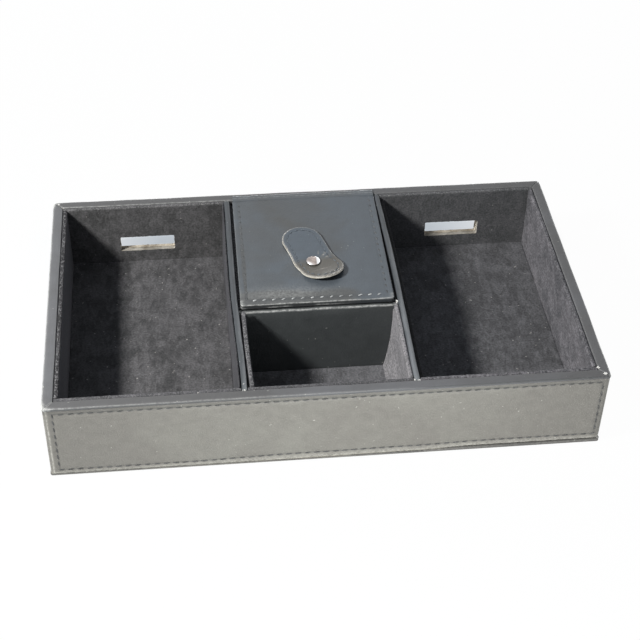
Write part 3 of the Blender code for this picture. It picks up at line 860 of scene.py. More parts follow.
@dataclass
class CableSlot:
    """The cable slot: a rounded bar whose surface wanders as a hand-cut edge does."""

    length: float = 38.0
    height: float = 11.9
    sill: float = 18.7
    corner: float = 1.0
    rough: float = 0.16

    def bar(self, centre: float, seed: int, drop: float) -> Patch:
        """The shape that is cut out.

        Args:
            centre: X of the slot's middle.
            seed: Seed of the roughness.
            drop: How much lower the sill is cut.

        Returns:
            A closed bar along Y.
        """
        outline = rounded_path(self.length / 2, self.height / 2, self.corner, 0.7)
        depths = np.linspace(88.0, 104.0, 40)[:, None]
        # The knife came out lower at the back: the sill falls off behind the middle of the board.
        fall = drop + 1.6 * smoothstep(depths, 98.0, 98.9) + 1.1 * smoothstep(depths, 100.1, 100.7)
        middle = self.sill + self.height / 2
        points = joined(
            outline[:, 0] + centre, depths, outline[:, 1] + middle - fall * (outline[:, 1] < 0.0))
        wander = self.rough * (waves(points, 2.6, seed) + 0.5 * waves(points, 0.9, seed + 7))
        away = unit((points - [centre, 0.0, middle]) * [1.0, 0.0, 1.0])
        return Patch(points + away * wander[..., None])

    def cut(
        self, piece: bpy.types.Object, centres: Sequence[float], seed: int, raw: Finish,
        drop: float = 0.0,
    ) -> None:
        """Cut slots through a piece with rough bars, whose faces leave the raw edge's finish.

        Args:
            piece: The piece, which has the raw edge's finish as its second one.
            centres: X of each slot's middle.
            seed: Seed of the roughness.
            raw: The raw edge's finish.
            drop: How much lower the sill is cut.
        """
        for number, centre in enumerate(centres):
            bar = make_piece("slot_bar", [self.bar(centre, seed + number, drop)], [raw])
            hole = piece.modifiers.new("slot", "BOOLEAN")
            hole.operation = "DIFFERENCE"
            hole.solver = "EXACT"
            hole.material_mode = "TRANSFER"
            hole.object = bar
            graph = bpy.context.evaluated_depsgraph_get()
            done = bpy.data.meshes.new_from_object(piece.evaluated_get(graph))
            piece.modifiers.remove(hole)
            old, piece.data = piece.data, done
            done.name = piece.name
            bpy.data.meshes.remove(old)
            bpy.data.objects.remove(bar, do_unlink=True)
        piece.data.set_sharp_from_angle(angle=math.radians(50.0))


@dataclass
class OuterPanels:
    """The four stitched leather panels on the tray's outer faces."""

    inset: float = 0.4
    thickness: float = 0.6
    foot: float = 3.35
    top: float = 54.25
    edge: float = 0.45
    side_margin: float = 4.8
    top_margin: float = 3.1
    front_shift: float = 0.8
    foot_margin: float = 3.8
    stitch_corner: float = 1.0
    groove: float = 0.26
    groove_width: float = 0.8
    puff: float = 0.12
    ripple: float = 0.05
    end_gap: float = 0.25
    step: float = 0.9
    stitches: StitchRow = field(default_factory=lambda: StitchRow(
        length=4.7, radius=0.5, height=0.1, hole=0.0))

    def half_run(self, side: Side) -> float:
        """Half the panel's length; the short panels stand between the long ones."""
        short = side.half_run < side.half_across
        return side.half_run - self.inset - short * (self.thickness + self.end_gap)

    def shift(self, side: Side) -> float:
        """How far the stitched rectangle is off the middle: a little to the right on the front."""
        return self.front_shift * (side.name == "front")

    def row(self, side: Side) -> tuple[float, float, float]:
        """Half length, middle height and half height of the stitched rectangle."""
        low, high = self.foot + self.foot_margin, self.top - self.top_margin
        return self.half_run(side) - self.side_margin, (low + high) / 2, (high - low) / 2

    def row_distance(self, side: Side, along: np.ndarray, level: np.ndarray) -> np.ndarray:
        """Distance to the stitched rectangle."""
        half, mid, tall = self.row(side)
        return box_distance(along - self.shift(side), level - mid, half, tall, self.stitch_corner)

    def rim_distance(self, side: Side, along: np.ndarray, level: np.ndarray) -> np.ndarray:
        """Distance in from the panel's own outline."""
        middle, tall = (self.top + self.foot) / 2, (self.top - self.foot) / 2
        return -box_distance(along, level - middle, self.half_run(side), tall, 0.4)

    def hung(self, side: Side, along: np.ndarray, level: np.ndarray) -> np.ndarray:
        """Let levels down to meet the base's edge, by the cube of the way to the foot.

        Args:
            side: The side that the panel is on.
            along: Distance along the side.
            level: Height.

        Returns:
            The height of every place after that.
        """
        edge = BaseCover.seam_level(side.world(along, self.inset, level))
        share = np.clip((self.top - level) / (self.top - self.foot), 0.0, 1.0)
        # The bottom row was sewn closer to the edge at the front's left end.
        low = 1.5 * smoothstep(-along, 20.0, 90.0) * (side.name == "front")
        return level - (self.foot - 0.25 - edge) * share ** 3 - low * bump_at(share - 0.925, 0.06)

    def relief(self, side: Side, along: np.ndarray, level: np.ndarray) -> np.ndarray:
        """How far the face stands in from the panel's outer plane.

        It is a groove along the stitches, a low puff on both sides of them, rounded edges and a
        slow ripple.

        Args:
            side: The side that the panel is on.
            along: Distance along the side.
            level: Height.

        Returns:
            The depth at every place.
        """
        row = self.row_distance(side, along, level)
        rim = 1.0 - np.clip(self.rim_distance(side, along, level) / 0.9, 0, 1)
        depth = self.groove * bump_at(row, self.groove_width)
        depth += self.edge * (1.0 - np.sqrt(np.clip(1.0 - rim ** 2, 0, 1)))
        depth += self.puff * (1.0 - smoothstep(np.abs(row), 0.6, 2.2))
        return depth + self.ripple * (1.0 + waves(side.world(along, 0.0, level), 46.0, 11)) / 2

    def build(self) -> None:
        """Build each panel and its stitches, and cut the cable slots in the back one."""
        for side in SIDES:
            finishes = [Finish.PANEL, Finish.CARD]
            piece = make_piece(side.name + "_panel_leather", [self.panel(side)], finishes)
            if side.name == "back":
                CableSlot().cut(piece, SLOT_CENTRES, 31, Finish.CARD, 1.5)
            settle(piece, "tray", Slot.LEATHER, side.name + "_panel")
            self.sew(side)

    def panel(self, side: Side) -> Patch:
        """Shape one panel.

        Args:
            side: The side that the panel is on.

        Returns:
            The panel's patch.
        """
        half = self.half_run(side)
        along = eased_run(half, self.step)[:, None]
        face = spread(
            (self.foot, self.foot + 1.2, self.foot + 2.6, self.foot + 5.2,
             self.top - 3.6, self.top - 0.9, self.top), (6, 4, 12, 30, 14, 6))
        back = np.array([self.top - 0.05, (self.top + self.foot) / 2, self.foot + 0.05])
        level = np.concatenate([face, back])[None, :]
        inset = self.inset + np.minimum(self.relief(side, along, level), self.thickness - 0.08)
        inset[:, len(face):] = self.inset + self.thickness
        # Above the top row the leather is painted with the lip's shade; under the bottom one it is
        # painted paler.
        row_top, row_foot = self.top - self.top_margin, self.foot + self.foot_margin
        above = smoothstep(level, row_top - 0.4, row_top + 0.6)
        below = smoothstep(-level, 0.6 - row_foot, -self.foot - 1.5)
        wear_and_highlight = (0.55 - 0.4 * above) * bump_at(self.rim_distance(side, along, level), 0.7) \
            + 0.4 * below
        # The stitch groove, and on the front the strip past the stitches at the right end, are
        # painted with shade.
        end = smoothstep(along, half - 4.6, half - 3.4) * (side.name == "front")
        seam = 0.34 * bump_at(self.row_distance(side, along, level), 0.45) \
            + 0.24 * np.maximum(above, end)
        if side.name == "front":
            # The left corner's fold is painted pale, beside a strip of painted shade.
            wear_and_highlight = wear_and_highlight + 0.8 * bump_at(along + half - 2.2, 0.5)
            seam = seam + 0.2 * smoothstep(-along, half - 1.6, half - 1.1)
        # Towards both ends the panel is painted darker, as painted shade.
        return Patch(side.world(along, inset, self.hung(side, along, level)), wear_and_highlight=wear_and_highlight, seam=seam,
                     tone=0.5 + 0.5 * smoothstep(np.abs(along), 90.0, 165.0))

    def sew(self, side: Side) -> None:
        """Sew the row round one panel.

        Args:
            side: The side that the panel is on.
        """
        half, middle, tall = self.row(side)
        along, level = rounded_path(half, tall, self.stitch_corner, 0.8).T
        along, level = along + self.shift(side), level + middle
        depth = self.inset + self.relief(side, along, level)
        path = side.world(along, depth, self.hung(side, along, level))
        patches = self.stitches.place(path, side.outward(), True, 5)
        piece = make_piece(side.name + "_panel_stitches", patches, [Finish.THREAD])
        settle(piece, "tray", Slot.LEATHER)


# Folded leather


@dataclass(frozen=True)
class Fold:
    """A sheet folded over an edge: its outer and inner face, top, feet and both folds' radii."""

    outer: float
    inner: float
    top: float
    outer_foot: float
    inner_foot: float
    outer_radius: float
    inner_radius: float
    crown: float
    welt: float = 0.0
    welt_height: float = 0.0

    def path(self) -> tuple[np.ndarray, np.ndarray]:
        """The sheet's outer line, and the direction that it faces at each point.

        It climbs the outer side, steps out under the welt where there is one, turns on a quarter
        circle, crosses with a low crown that rises as one less t squared, turns down again and
        descends the inner side.

        Returns:
            Points and facing directions, both as pairs of place and height.
        """
        outer, inner, top = self.outer, self.inner, self.top
        climb = np.linspace(self.outer_foot, top - max(self.outer_radius, self.welt_height), 9)
        descend = np.linspace(top - self.inner_radius, self.inner_foot, 9)
        turn = np.linspace(0.0, math.pi / 2, 9)
        flat = np.linspace(outer + self.outer_radius, inner - self.inner_radius, 9)[1:-1]
        share = (flat - (outer + inner) / 2) / ((inner - outer) / 2)
        lip = np.zeros((0, 2))
        if self.welt > 0.0:
            foot = top - self.welt_height
            under = np.linspace(0.0, math.pi / 2, 5)
            lip = np.concatenate([[[outer + self.welt, foot]], joined(
                outer + 0.45 * (1 - np.sin(under)), foot + 0.45 * (1 - np.cos(under)))])
        points = np.concatenate([
            joined(outer + self.welt, climb[:-1]),
            lip,
            joined(outer + self.outer_radius * (1 - np.cos(turn)),
                   top - self.outer_radius * (1 - np.sin(turn))),
            joined(flat, top + self.crown * (1 - share ** 2)),
            joined(inner - self.inner_radius * (1 - np.sin(turn)),
                   top - self.inner_radius * (1 - np.cos(turn))),
            joined(inner, descend[1:]),
        ])
        points[:, 1] -= self.crown
        line = unit(np.gradient(points, axis=0))
        return points, joined(-line[:, 1], line[:, 0])

    def loop(self, thickness: float, inside: "Fold | None" = None) -> tuple[np.ndarray, np.ndarray]:
        """The outer line closed with the inner one, a thickness behind it.

        Args:
            thickness: Thickness of the sheet.
            inside: The fold that the inner line follows, where it isn't this one.

        Returns:
            The loop, and which of its points are on the outer line.
        """
        points, facing = self.path()
        follows, behind = inside.path() if inside else (points, facing)
        loop = np.concatenate([points, (follows - behind * thickness)[::-1]])
        return loop, np.arange(len(loop)) < len(points)


@dataclass
class Rims:
    """Leather folded over the tops of the four walls, mitred where they meet."""

    outer: float = 0.08
    welt: float = 1.17
    welt_height: float = 2.0
    inner: float = 6.75
    top: float = 56.5
    leg: float = 14.0
    thickness: float = 0.5
    outer_radius: float = 1.1
    inner_radius: float = 0.8
    crown: float = 0.12
    mitre_gap: float = 0.08
    mitre_dip: float = 0.42
    wander: float = 0.10
    step: float = 1.3
    # How dark each strip is painted: front, right, back and left.
    tones: tuple[float, float, float, float] = (0.0, 0.58, 0.58, 0.42)

    def build(self) -> None:
        """Build the four folded strips."""
        foot = self.top - self.leg
        shape = (self.top, foot, foot, self.outer_radius, self.inner_radius, self.crown)
        welted = Fold(self.outer, self.inner, *shape, self.welt, self.welt_height)
        plain = Fold(self.outer + self.welt, self.inner, *shape)
        loop, on_face = welted.loop(self.thickness, plain)
        for number, side in enumerate(SIDES):
            full = side.half_run - self.outer - self.mitre_gap
            share = (eased_run(full, self.step, 5.0, 18) / full)[:, None]
            reach = side.half_run - loop[:, 0] - self.mitre_gap
            along, level = share * reach, loop[:, 1]
            to_end = (1.0 - np.abs(share)) * reach
            high = smoothstep(level, self.top - 1.6, self.top - 0.4)
            places = side.world(along, loop[:, 0], level)
            shift = self.wander * waves(places, 34.0, 40 + number)
            level = level - self.mitre_dip * bump_at(to_end, 0.75) * high \
                - high * self.wander * (0.5 + 0.5 * waves(places, 19.0, 50 + number))
            points = side.world(along, loop[:, 0] + shift * high, level)
            patch = Patch(points)
            self.wear(patch, number, loop, on_face, to_end, high)
            piece = make_piece(side.name + "_rim_leather", [patch], [Finish.RIM])
            settle(piece, "tray", Slot.LEATHER, side.name + "_rim")

    def wear(
        self, patch: Patch, number: int, loop: np.ndarray, on_face: np.ndarray,
        to_end: np.ndarray, high: np.ndarray,
    ) -> None:
        """Give a strip wear and painted highlights on its folds, painted shade in its mitres, and
        its tone.

        Args:
            patch: The strip.
            number: Its side's number, with 0 at the front and 2 at the back.
            loop: Its section.
            on_face: Which of the section's points are on the outer line.
            to_end: Distance to the mitre.
            high: One on the top and zero on the legs.
        """
        x = patch.points[..., 0]
        on_outer = on_face * bump_at(np.hypot(loop[:, 0] - self.outer, loop[:, 1] - self.top), 0.65)
        on_inner = on_face * bump_at(np.hypot(loop[:, 0] - self.inner, loop[:, 1] - self.top), 0.5)
        # The front lip's wear and painted highlight fade out towards its right end; the back
        # strip's inner fold is painted brighter over the left bay.
        worn = 0.75
        if number == 0:
            worn = np.interp(x, (-171, -140, -60, 20, 60), (1.3, 0.7, 0.6, 0.3, 0.0))
        inner = 0.3 + 0.7 * smoothstep(-x, 10.0, 60.0) * (number == 2)
        # The left corners and the mitres, most the left ones, get painted highlights, and the mitre
        # joints painted shade.
        tip = bump_at(np.abs(x) - HALF_LENGTH, 6.0) * bump_at(to_end, 4.0) * (x < 0.0)
        mitre = 0.15 + 0.35 * (x < 0.0)
        patch.wear_and_highlight = worn * on_outer + inner * on_inner + mitre * bump_at(to_end - 0.5, 0.5) * high \
            + 2.4 * tip * bump_at(loop[:, 0] - self.outer, 1.4)
        patch.seam = 0.5 * bump_at(to_end, 0.18) * high
        # The tone paints the back strip darker towards its left, and the front one darker at its
        # ends than in its middle.
        patch.tone = self.tones[number] + 0.42 * smoothstep(-x, 0.0, 90.0) * (number == 2)
        if number == 0:
            patch.tone = np.interp(x, (-60, -10, 60, 100, 150), (1.0, 0.3, 0.3, 0.5, 0.75))
            # The lip's face is painted with its own shade, and at the right its fold is as well.
            down = self.top - loop[:, 1]
            right = smoothstep(x, 30.0, 70.0)
            patch.seam = patch.seam + (loop[:, 0] < self.outer + 0.75) * on_face * (
                right * (0.5 * bump_at(down - 0.7, 0.8) + 0.14)
                + (1.0 - right) * (0.5 * bump_at(down - 1.2, 0.6) + 0.1))


# Places along each divider, and how dark its leather is painted there.
WRAP_TONES = {
    "left": ((-84.0, -66.0, -38.0, -8.0, 22.0, 55.0, 80.0),
             (0.5, 0.48, 0.64, 0.7, 0.77, 0.97, 0.9)),
    "right": ((-85.0, -65.0, -35.0, -5.0, 25.0, 60.0, 90.0),
              (0.1, 0.2, 0.35, 0.6, 0.65, 0.85, 1.0)),
}


@dataclass
class DividerWraps:
    """Leather folded over the two long dividers."""

    face: float = 50.9
    width: float = 3.6
    top: float = 56.5
    leg: float = 14.0
    half_run: float = 94.9
    thickness: float = 0.5
    radius: float = 1.1
    crown: float = 0.14
    wander: float = 0.10
    step: float = 1.2

    def build(self) -> None:
        """Build both wraps, each on the CAD divider's place."""
        half, foot = self.width / 2, self.top - self.leg
        loop, on_face = Fold(
            -half, half, self.top, foot, foot, self.radius, self.radius, self.crown,
        ).loop(self.thickness)
        fold = on_face * bump_at(np.hypot(loop[:, 0] - half, loop[:, 1] - self.top), 0.7)
        y = eased_run(self.half_run, self.step, 3.0, 10)[:, None]
        high = smoothstep(loop[:, 1], self.top - 2.5, self.top - 0.4)
        at_end = bump_at(self.half_run - np.abs(y), 0.9)
        for number, (name, sign) in enumerate((("left", -1.0), ("right", 1.0))):
            # The left one is folded looser on its left, over the velvet's edge.
            loose = 0.5 * smoothstep(y, -88.0, -60.0) * (sign < 0.0)
            across = loop[:, 0] - loose * smoothstep(-loop[:, 0], 0.0, half)
            places = joined(across + sign * (self.face + half), y, loop[:, 1])
            places[..., 0] += high * self.wander * waves(places, 28.0, 60 + number)
            places[..., 2] -= high * self.wander * (0.6 + 0.4 * waves(places, 17.0, 64 + number))
            places[..., 2] -= 0.5 * high * at_end
            # Both are painted darker towards the rear and paler towards the right of their tops;
            # their folds and ends get wear and painted highlights.
            patch = Patch(
                leaned(places),
                wear_and_highlight=0.3 * fold + 0.6 * bump_at(self.half_run - np.abs(y), 0.7) * high,
                tone=np.interp(y, *WRAP_TONES[name]) - 0.4 * np.clip(across / half, -1.0, 1.0))
            piece = make_piece(name + "_divider_leather", [patch], [Finish.WRAP])
            settle(piece, "tray", Slot.LEATHER, name + "_divider_wrap")


@dataclass
class LeaningFace:
    """The front face of the cross divider, which leans back towards its top."""

    top_y: float = -20.25
    top_z: float = 52.45
    foot_z: float = 6.6
    slope: float = 9.0 / 43.05

    def y_at(self, level: np.ndarray, behind: float = 0.0) -> np.ndarray:
        """Y of the face at a height, plus a distance behind it."""
        return self.top_y - self.slope * (self.top_z - level) + behind


@dataclass
class CrossDivider:
    """The leather over the cross divider: its whole front face, its top fold and a short leg."""

    face: LeaningFace = field(default_factory=LeaningFace)
    half_width: float = 50.65
    depth: float = 3.6
    leg: float = 14.0
    thickness: float = 0.5
    radius: float = 1.25
    crown: float = 0.1
    step: float = 1.2

    def build(self) -> None:
        """Build the sheet."""
        top = self.face.top_z
        loop, on_face = Fold(
            0.0, self.depth, top, self.face.foot_z, top - self.leg, self.radius, self.radius,
            self.crown).loop(self.thickness)
        x = eased_run(self.half_width, self.step, 3.0, 10)[:, None]
        depth, level = loop.T
        places = joined(x, self.face.y_at(level) + depth, level)
        high = smoothstep(level, top - 3.0, top - 0.5)
        front = smoothstep(-depth, -1.0, 0.0)
        places[..., 2] -= 0.16 * high * (0.5 + 0.5 * waves(places, 15.0, 71))
        places[..., 1] += 0.12 * high * waves(places, 21.0, 72)
        places[..., 1] += 0.14 * front * waves(places, 38.0, 73) * (1.0 - high)
        to_end = self.half_width - np.abs(x)
        places[..., 2] -= 0.5 * high * bump_at(to_end, 0.8)
        # Its top fold and both ends get wear and painted highlights.
        fold = on_face * bump_at(np.hypot(depth - 0.5, level - top + 0.3), 0.6)
        patch = Patch(leaned(places), wear_and_highlight=0.85 * fold + 0.7 * bump_at(to_end, 1.6) * high)
        piece = make_piece("cross_divider_leather", [patch], [Finish.CROSS])
        settle(piece, "tray", Slot.LEATHER, "cross_divider_wrap")


@dataclass
class BaseCover:
    """The leather round the base board: a low rounded edge, creased where it was drawn tight."""

    height: float = 3.1
    corner: float = 1.5
    fold: float = 0.55
    turn_in: float = 15.0
    thickness: float = 0.5
    step: float = 1.4
    ripple: float = 0.16
    tuck: float = 1.15

    @staticmethod
    def seam_level(points: np.ndarray) -> np.ndarray:
        """Height of the base's visible edge, which the panels hang over.

        It rises in two soft steps along the front and evens out towards the back.

        Args:
            points: Places in millimetres.

        Returns:
            The height at every place.
        """
        x, y = points[..., 0], points[..., 1]
        front = 1.2 + 0.4 * smoothstep(x, -5.0, 35.0) + 1.2 * smoothstep(x, 55.0, 90.0)
        return front + (2.8 - front) * smoothstep(y, -95.0, 60.0)

    def build(self) -> None:
        """Build the wrapped base."""
        insets, levels = wrap_profile(self.height, 0.0, self.fold, self.turn_in, self.thickness)
        points = rings((HALF_LENGTH, HALF_DEPTH), self.corner, self.step, insets, levels, 0.05)
        insets = insets[:, None]
        side_on = bump_at(points[..., 2] - self.height * 0.5, 0.9) * smoothstep(-insets, -0.6, -0.2)
        crease = self.ripple * side_on * (0.5 + 0.5 * waves(points, 24.0, 81))
        centre = points * [1.0, 1.0, 0.0]
        inward = -np.sign(centre) * (
            np.abs(centre) > [HALF_LENGTH - 3.0, HALF_DEPTH - 3.0, math.inf])
        points = points + inward * crease[..., None]
        edge = self.seam_level(points)
        tucked = self.tuck * smoothstep(points[..., 2], edge - 0.2, edge + 0.1) * (
            insets < self.fold + 0.01)
        points = points + inward * tucked[..., None]
        # The rounded side is painted paler, its creases get painted shade in patches, and it is
        # painted darker towards the right.
        patch = Patch(points, wear_and_highlight=0.3 * side_on,
                      seam=0.35 * side_on * smoothstep(waves(points, 40.0, 83), 0.0, 0.7),
                      tone=0.1 + 0.9 * smoothstep(points[..., 0], 0.0, 80.0))
        settle(make_piece("base_leather", [patch], [Finish.BASE]), "tray", Slot.LEATHER,
               "base_cover")


def wrap_profile(
    top: float, foot: float, fold: float, turn_in: float, thickness: float,
) -> tuple[np.ndarray, np.ndarray]:
    """Insets and levels of a skin drawn round a board's edge and turned in over its other face.

    It starts on the closed face, rounds the edge on two quarter circles, runs in over the top and
    returns one thickness inside.

    Args:
        top: Height of the turned-in side.
        foot: Height of the closed face.
        fold: Radius of both folds.
        turn_in: How far the turned-in edge reaches.
        thickness: Thickness of the sheet.

    Returns:
        Insets and levels of the rings.
    """
    turn = np.linspace(0.0, math.pi / 2, 7)
    # The side has rings of its own, so that tucks and wear on it are crisp.
    side = np.linspace(foot + fold, top - fold, 10)[1:-1]
    insets = np.concatenate([
        [8.0, 4.0], fold * (1 - np.sin(turn)), 0.0 * side, fold * (1 - np.cos(turn)),
        [turn_in, turn_in, thickness, thickness]])
    levels = np.concatenate([
        [foot, foot], foot + fold * (1 - np.cos(turn)), side, top - fold * (1 - np.sin(turn)),
        [top, top - thickness, top - thickness, foot + thickness]])
    return insets, levels


# Velvet linings


@dataclass
class VelvetCard:
    """A card covered in velvet: a soft rounded slab whose pile stands proud at its top edge.

    Its section is a rounded rectangle that is carried along the card, and its faces ripple.
    """

    edge: float = 0.95
    fuzz: float = 0.10
    ripple: float = 0.16
    step: float = 0.75

    def slab(
        self, low: np.ndarray, high: np.ndarray, along_x: bool, seed: int,
        ends: Callable[[np.ndarray], tuple[np.ndarray, np.ndarray]] | None = None,
        bend: Callable[[np.ndarray, np.ndarray], np.ndarray] | None = None, worn: float = 1.0,
    ) -> Patch:
        """A standing card.

        Args:
            low: Lowest corner.
            high: Highest corner.
            along_x: Whether the card runs along X, or else along Y.
            seed: Seed of the ripple.
            ends: Gives the card's two ends at each height, where they lean.
            bend: Gives a shift across the card from distance along it and height.
            worn: Share of the full painted glint at its top edge.

        Returns:
            The card's patch.
        """
        run, across = (0, 1) if along_x else (1, 0)
        thick, tall, half = ((high[axis] - low[axis]) / 2 for axis in (across, 2, run))
        section = rounded_path(thick, tall, min(self.edge, thick * 0.8), 0.55)
        section = section[
            (np.abs(section[:, 1]) > tall - 2.5) | (np.arange(len(section)) % 4 == 0)]
        level = section[:, 1] + tall + low[2]
        share = (eased_run(half, self.step, 2.0, 8) / half)[:, None]
        start, end = ends(level) if ends else (low[run], high[run])
        place = (start + end) / 2 + share * (end - start) / 2
        # The card's ends are rounded: the section draws in over the last 0.8 mm.
        close = 1.0 - 0.35 * bump_at((1.0 - np.abs(share)) * half, 0.35)
        offset = (low[across] + high[across]) / 2 + section[:, 0] * close
        points = joined(*((place, offset) if along_x else (offset, place)), level)
        high_up = smoothstep(points[..., 2], high[2] - 2.2, high[2] - 0.3)
        points[..., across] += 0.5 * self.ripple * waves(points, 30.0, seed) * (1 - high_up)
        points[..., 2] += high_up * (self.fuzz * waves(points, 1.4, seed + 1) - self.fuzz)
        points[..., across] += high_up * self.fuzz * waves(points, 1.7, seed + 2)
        if bend:
            points[..., across] += bend(points[..., run], points[..., 2])
        # The top edge is painted with speckled glints.
        wear_and_highlight = 0.75 * worn * smoothstep(points[..., 2], high[2] - 1.2, high[2] - 0.2)
        return Patch(leaned(points), wear_and_highlight=wear_and_highlight)

    def floor(self, low: np.ndarray, high: np.ndarray, seed: int) -> Patch:
        """A lying card: rings of a rounded rectangle from the middle of its top to its underside.

        Args:
            low: Lowest corner.
            high: Highest corner.
            seed: Seed of the ripple.

        Returns:
            The card's patch.
        """
        half = (high - low)[:2] / 2 + 0.18
        insets = np.concatenate([
            np.linspace(half.min() - 0.7, 2.0, 24), [0.9, 0.5, 0.2, 0.06, 0.0, 0.0, 0.4]])
        levels = np.concatenate([np.zeros(24), [0.0, -0.04, -0.15, -0.35, -0.7, -2.2, -2.7]])
        points = rings(half, 0.6, 1.6, insets, high[2] + levels, 0.6, (high + low)[:2] / 2)
        on_top = smoothstep(points[..., 2], high[2] - 0.3, high[2])
        points[..., 2] += on_top * (0.12 * waves(points, 32.0, seed) - 0.12)
        return Patch(points)


@dataclass
class Linings:
    """The velvet linings of all bays."""

    card: VelvetCard = field(default_factory=VelvetCard)
    face: LeaningFace = field(default_factory=LeaningFace)
    gap: float = 0.25
    belly: float = 5.6
    glued: float = 0.8
    thickness: float = 2.7
    divider: float = 3.6
    # Places along the coin bay's left card, and how far it stands off the divider there.
    stand_off: tuple[tuple[float, ...], tuple[float, ...]] = (
        (-92.0, -84.0, -72.0, -55.0, -42.0, -30.0), (1.5, 1.2, 0.8, 0.6, 0.9, 1.25))

    def add(self, node: str, patch: Patch, finish: Finish) -> None:
        """Add a lining that stands for its CAD node.

        Args:
            node: The CAD node's name.
            patch: The lining's shape.
            finish: Its velvet.
        """
        piece = make_piece(node.replace("_lining", "_velvet"), [patch], [finish, Finish.CARD])
        if node in ("left_bay_back_lining", "right_bay_back_lining"):
            centre = SLOT_CENTRES[node.startswith("right")]
            CableSlot().cut(piece, [centre], 90, Finish.CARD)
        settle(piece, "tray", Slot.VELVET, node)

    def build(self) -> None:
        """Line every bay."""
        self.build_side_bays()
        self.build_coin_bay()
        self.build_lidded_bay()

    def build_side_bays(self) -> None:
        """Line both full-depth bays."""
        # The parts of the left bay end just short of the velvet on its divider.
        glued_face = span("left_bay_right_lining")[1][0] - self.glued - 0.55
        for number, bay in enumerate(("left_bay_", "right_bay_")):
            # Per wall: how strongly its top edge is painted with glints, and its velvet in each
            # bay.
            for place, worn, finishes in (
                ("front", 0.4, (Finish.VELVET_WALL, Finish.VELVET_LIT_WALL)),
                ("back", 0.65, (Finish.VELVET_BACK, Finish.VELVET_LIT_BACK)),
                ("left", 0.8, (Finish.VELVET_SHADED, Finish.VELVET_DARK)),
                ("right", 0.4, (Finish.VELVET_GLUED, Finish.VELVET_LIT_WALL)),
            ):
                node, finish = bay + place + "_lining", finishes[number]
                along_x = place in ("front", "back")
                low, high = span(node)
                high[2] -= 1.0 * (finish is Finish.VELVET_DARK)
                if node == "left_bay_right_lining":
                    # On this divider the velvet is glued straight on, without a card.
                    high += [-0.45, 0.0, 0.5]
                    low[0] = high[0] - self.glued
                elif number == 0 and along_x:
                    high[0] = max(high[0], glued_face)
                seed = 100 + 10 * number + len(place)
                self.add(node, self.card.slab(low, high, along_x, seed, worn=worn), finish)
            low, high = span(bay + "floor_lining")
            if number == 0:
                high[0] = glued_face
            self.add(bay + "floor_lining", self.card.floor(low, high, 120 + number),
                     (Finish.VELVET_FLOOR, Finish.VELVET_LIT_FLOOR)[number])

    def build_coin_bay(self) -> None:
        """Line the small front bay; its right card has come loose and bellies in at its foot."""
        patch = self.card.slab(*span("coin_bay_front_lining"), True, 131, worn=0.4)
        self.add("coin_bay_front_lining", patch, Finish.VELVET_WALL)
        low, high = span("coin_bay_left_lining")

        def cut_ends(level: np.ndarray, front: float = low[1]) -> tuple[np.ndarray, np.ndarray]:
            """The rear end follows the leaning face and is cut back over the cross divider."""
            rear = self.face.y_at(level, -self.gap) - 3.6 * smoothstep(level, 49.5, 52.5)
            return np.full(len(level), front), rear

        def lean_in(run: np.ndarray, level: np.ndarray) -> np.ndarray:
            """The card stands off the divider at its top, most at its ends."""
            return np.interp(run, *self.stand_off) * smoothstep(level, 15.0, 50.0)

        patch = self.card.slab(low, high, False, 132, cut_ends, lean_in)
        self.add("coin_bay_left_lining", patch, Finish.VELVET_WALL)
        low, high = span("coin_bay_right_lining")
        low[0] = high[0] - self.thickness

        def belly(run: np.ndarray, level: np.ndarray) -> np.ndarray:
            """The foot stands in furthest, and the card curves to it as a power of the depth."""
            down = np.clip((high[2] - level) / (high[2] - low[2]), 0.0, 1.0)
            return -self.belly * down ** 2.7

        patch = self.card.slab(low, high, False, 133, partial(cut_ends, front=low[1]), belly)
        self.add("coin_bay_right_lining", patch, Finish.VELVET_BRIGHT)
        patch = self.card.floor(*span("coin_bay_floor_lining"), 134)
        self.add("coin_bay_floor_lining", patch, Finish.VELVET_LIT_FLOOR)

    def build_lidded_bay(self) -> None:
        """Line the bay under the lid."""
        low, high = span("lidded_bay_front_lining")
        low[1], high[1] = 0.0, self.thickness
        behind = self.divider + self.gap

        def lean(run: np.ndarray, level: np.ndarray) -> np.ndarray:
            """The front lining leans with the cross divider that it stands against."""
            return self.face.y_at(level, behind)

        patch = self.card.slab(low, high, True, 141, bend=lean)
        self.add("lidded_bay_front_lining", patch, Finish.VELVET_WALL)
        patch = self.card.slab(*span("lidded_bay_back_lining"), True, 142)
        self.add("lidded_bay_back_lining", patch, Finish.VELVET_BACK)

        def ends(level: np.ndarray, rear: float) -> tuple[np.ndarray, np.ndarray]:
            """The front end follows the leaning lining and the rear one is upright."""
            start = self.face.y_at(level, behind + self.thickness + self.gap)
            return start, np.full(len(level), rear)

        for seed, place in ((143, "left"), (144, "right")):
            low, high = span("lidded_bay_" + place + "_lining")
            patch = self.card.slab(low, high, False, seed, partial(ends, rear=high[1]))
            self.add("lidded_bay_" + place + "_lining", patch, Finish.VELVET_WALL)
        patch = self.card.floor(*span("lidded_bay_floor_lining"), 146)
        self.add("lidded_bay_floor_lining", patch, Finish.VELVET_FLOOR)


# Lid


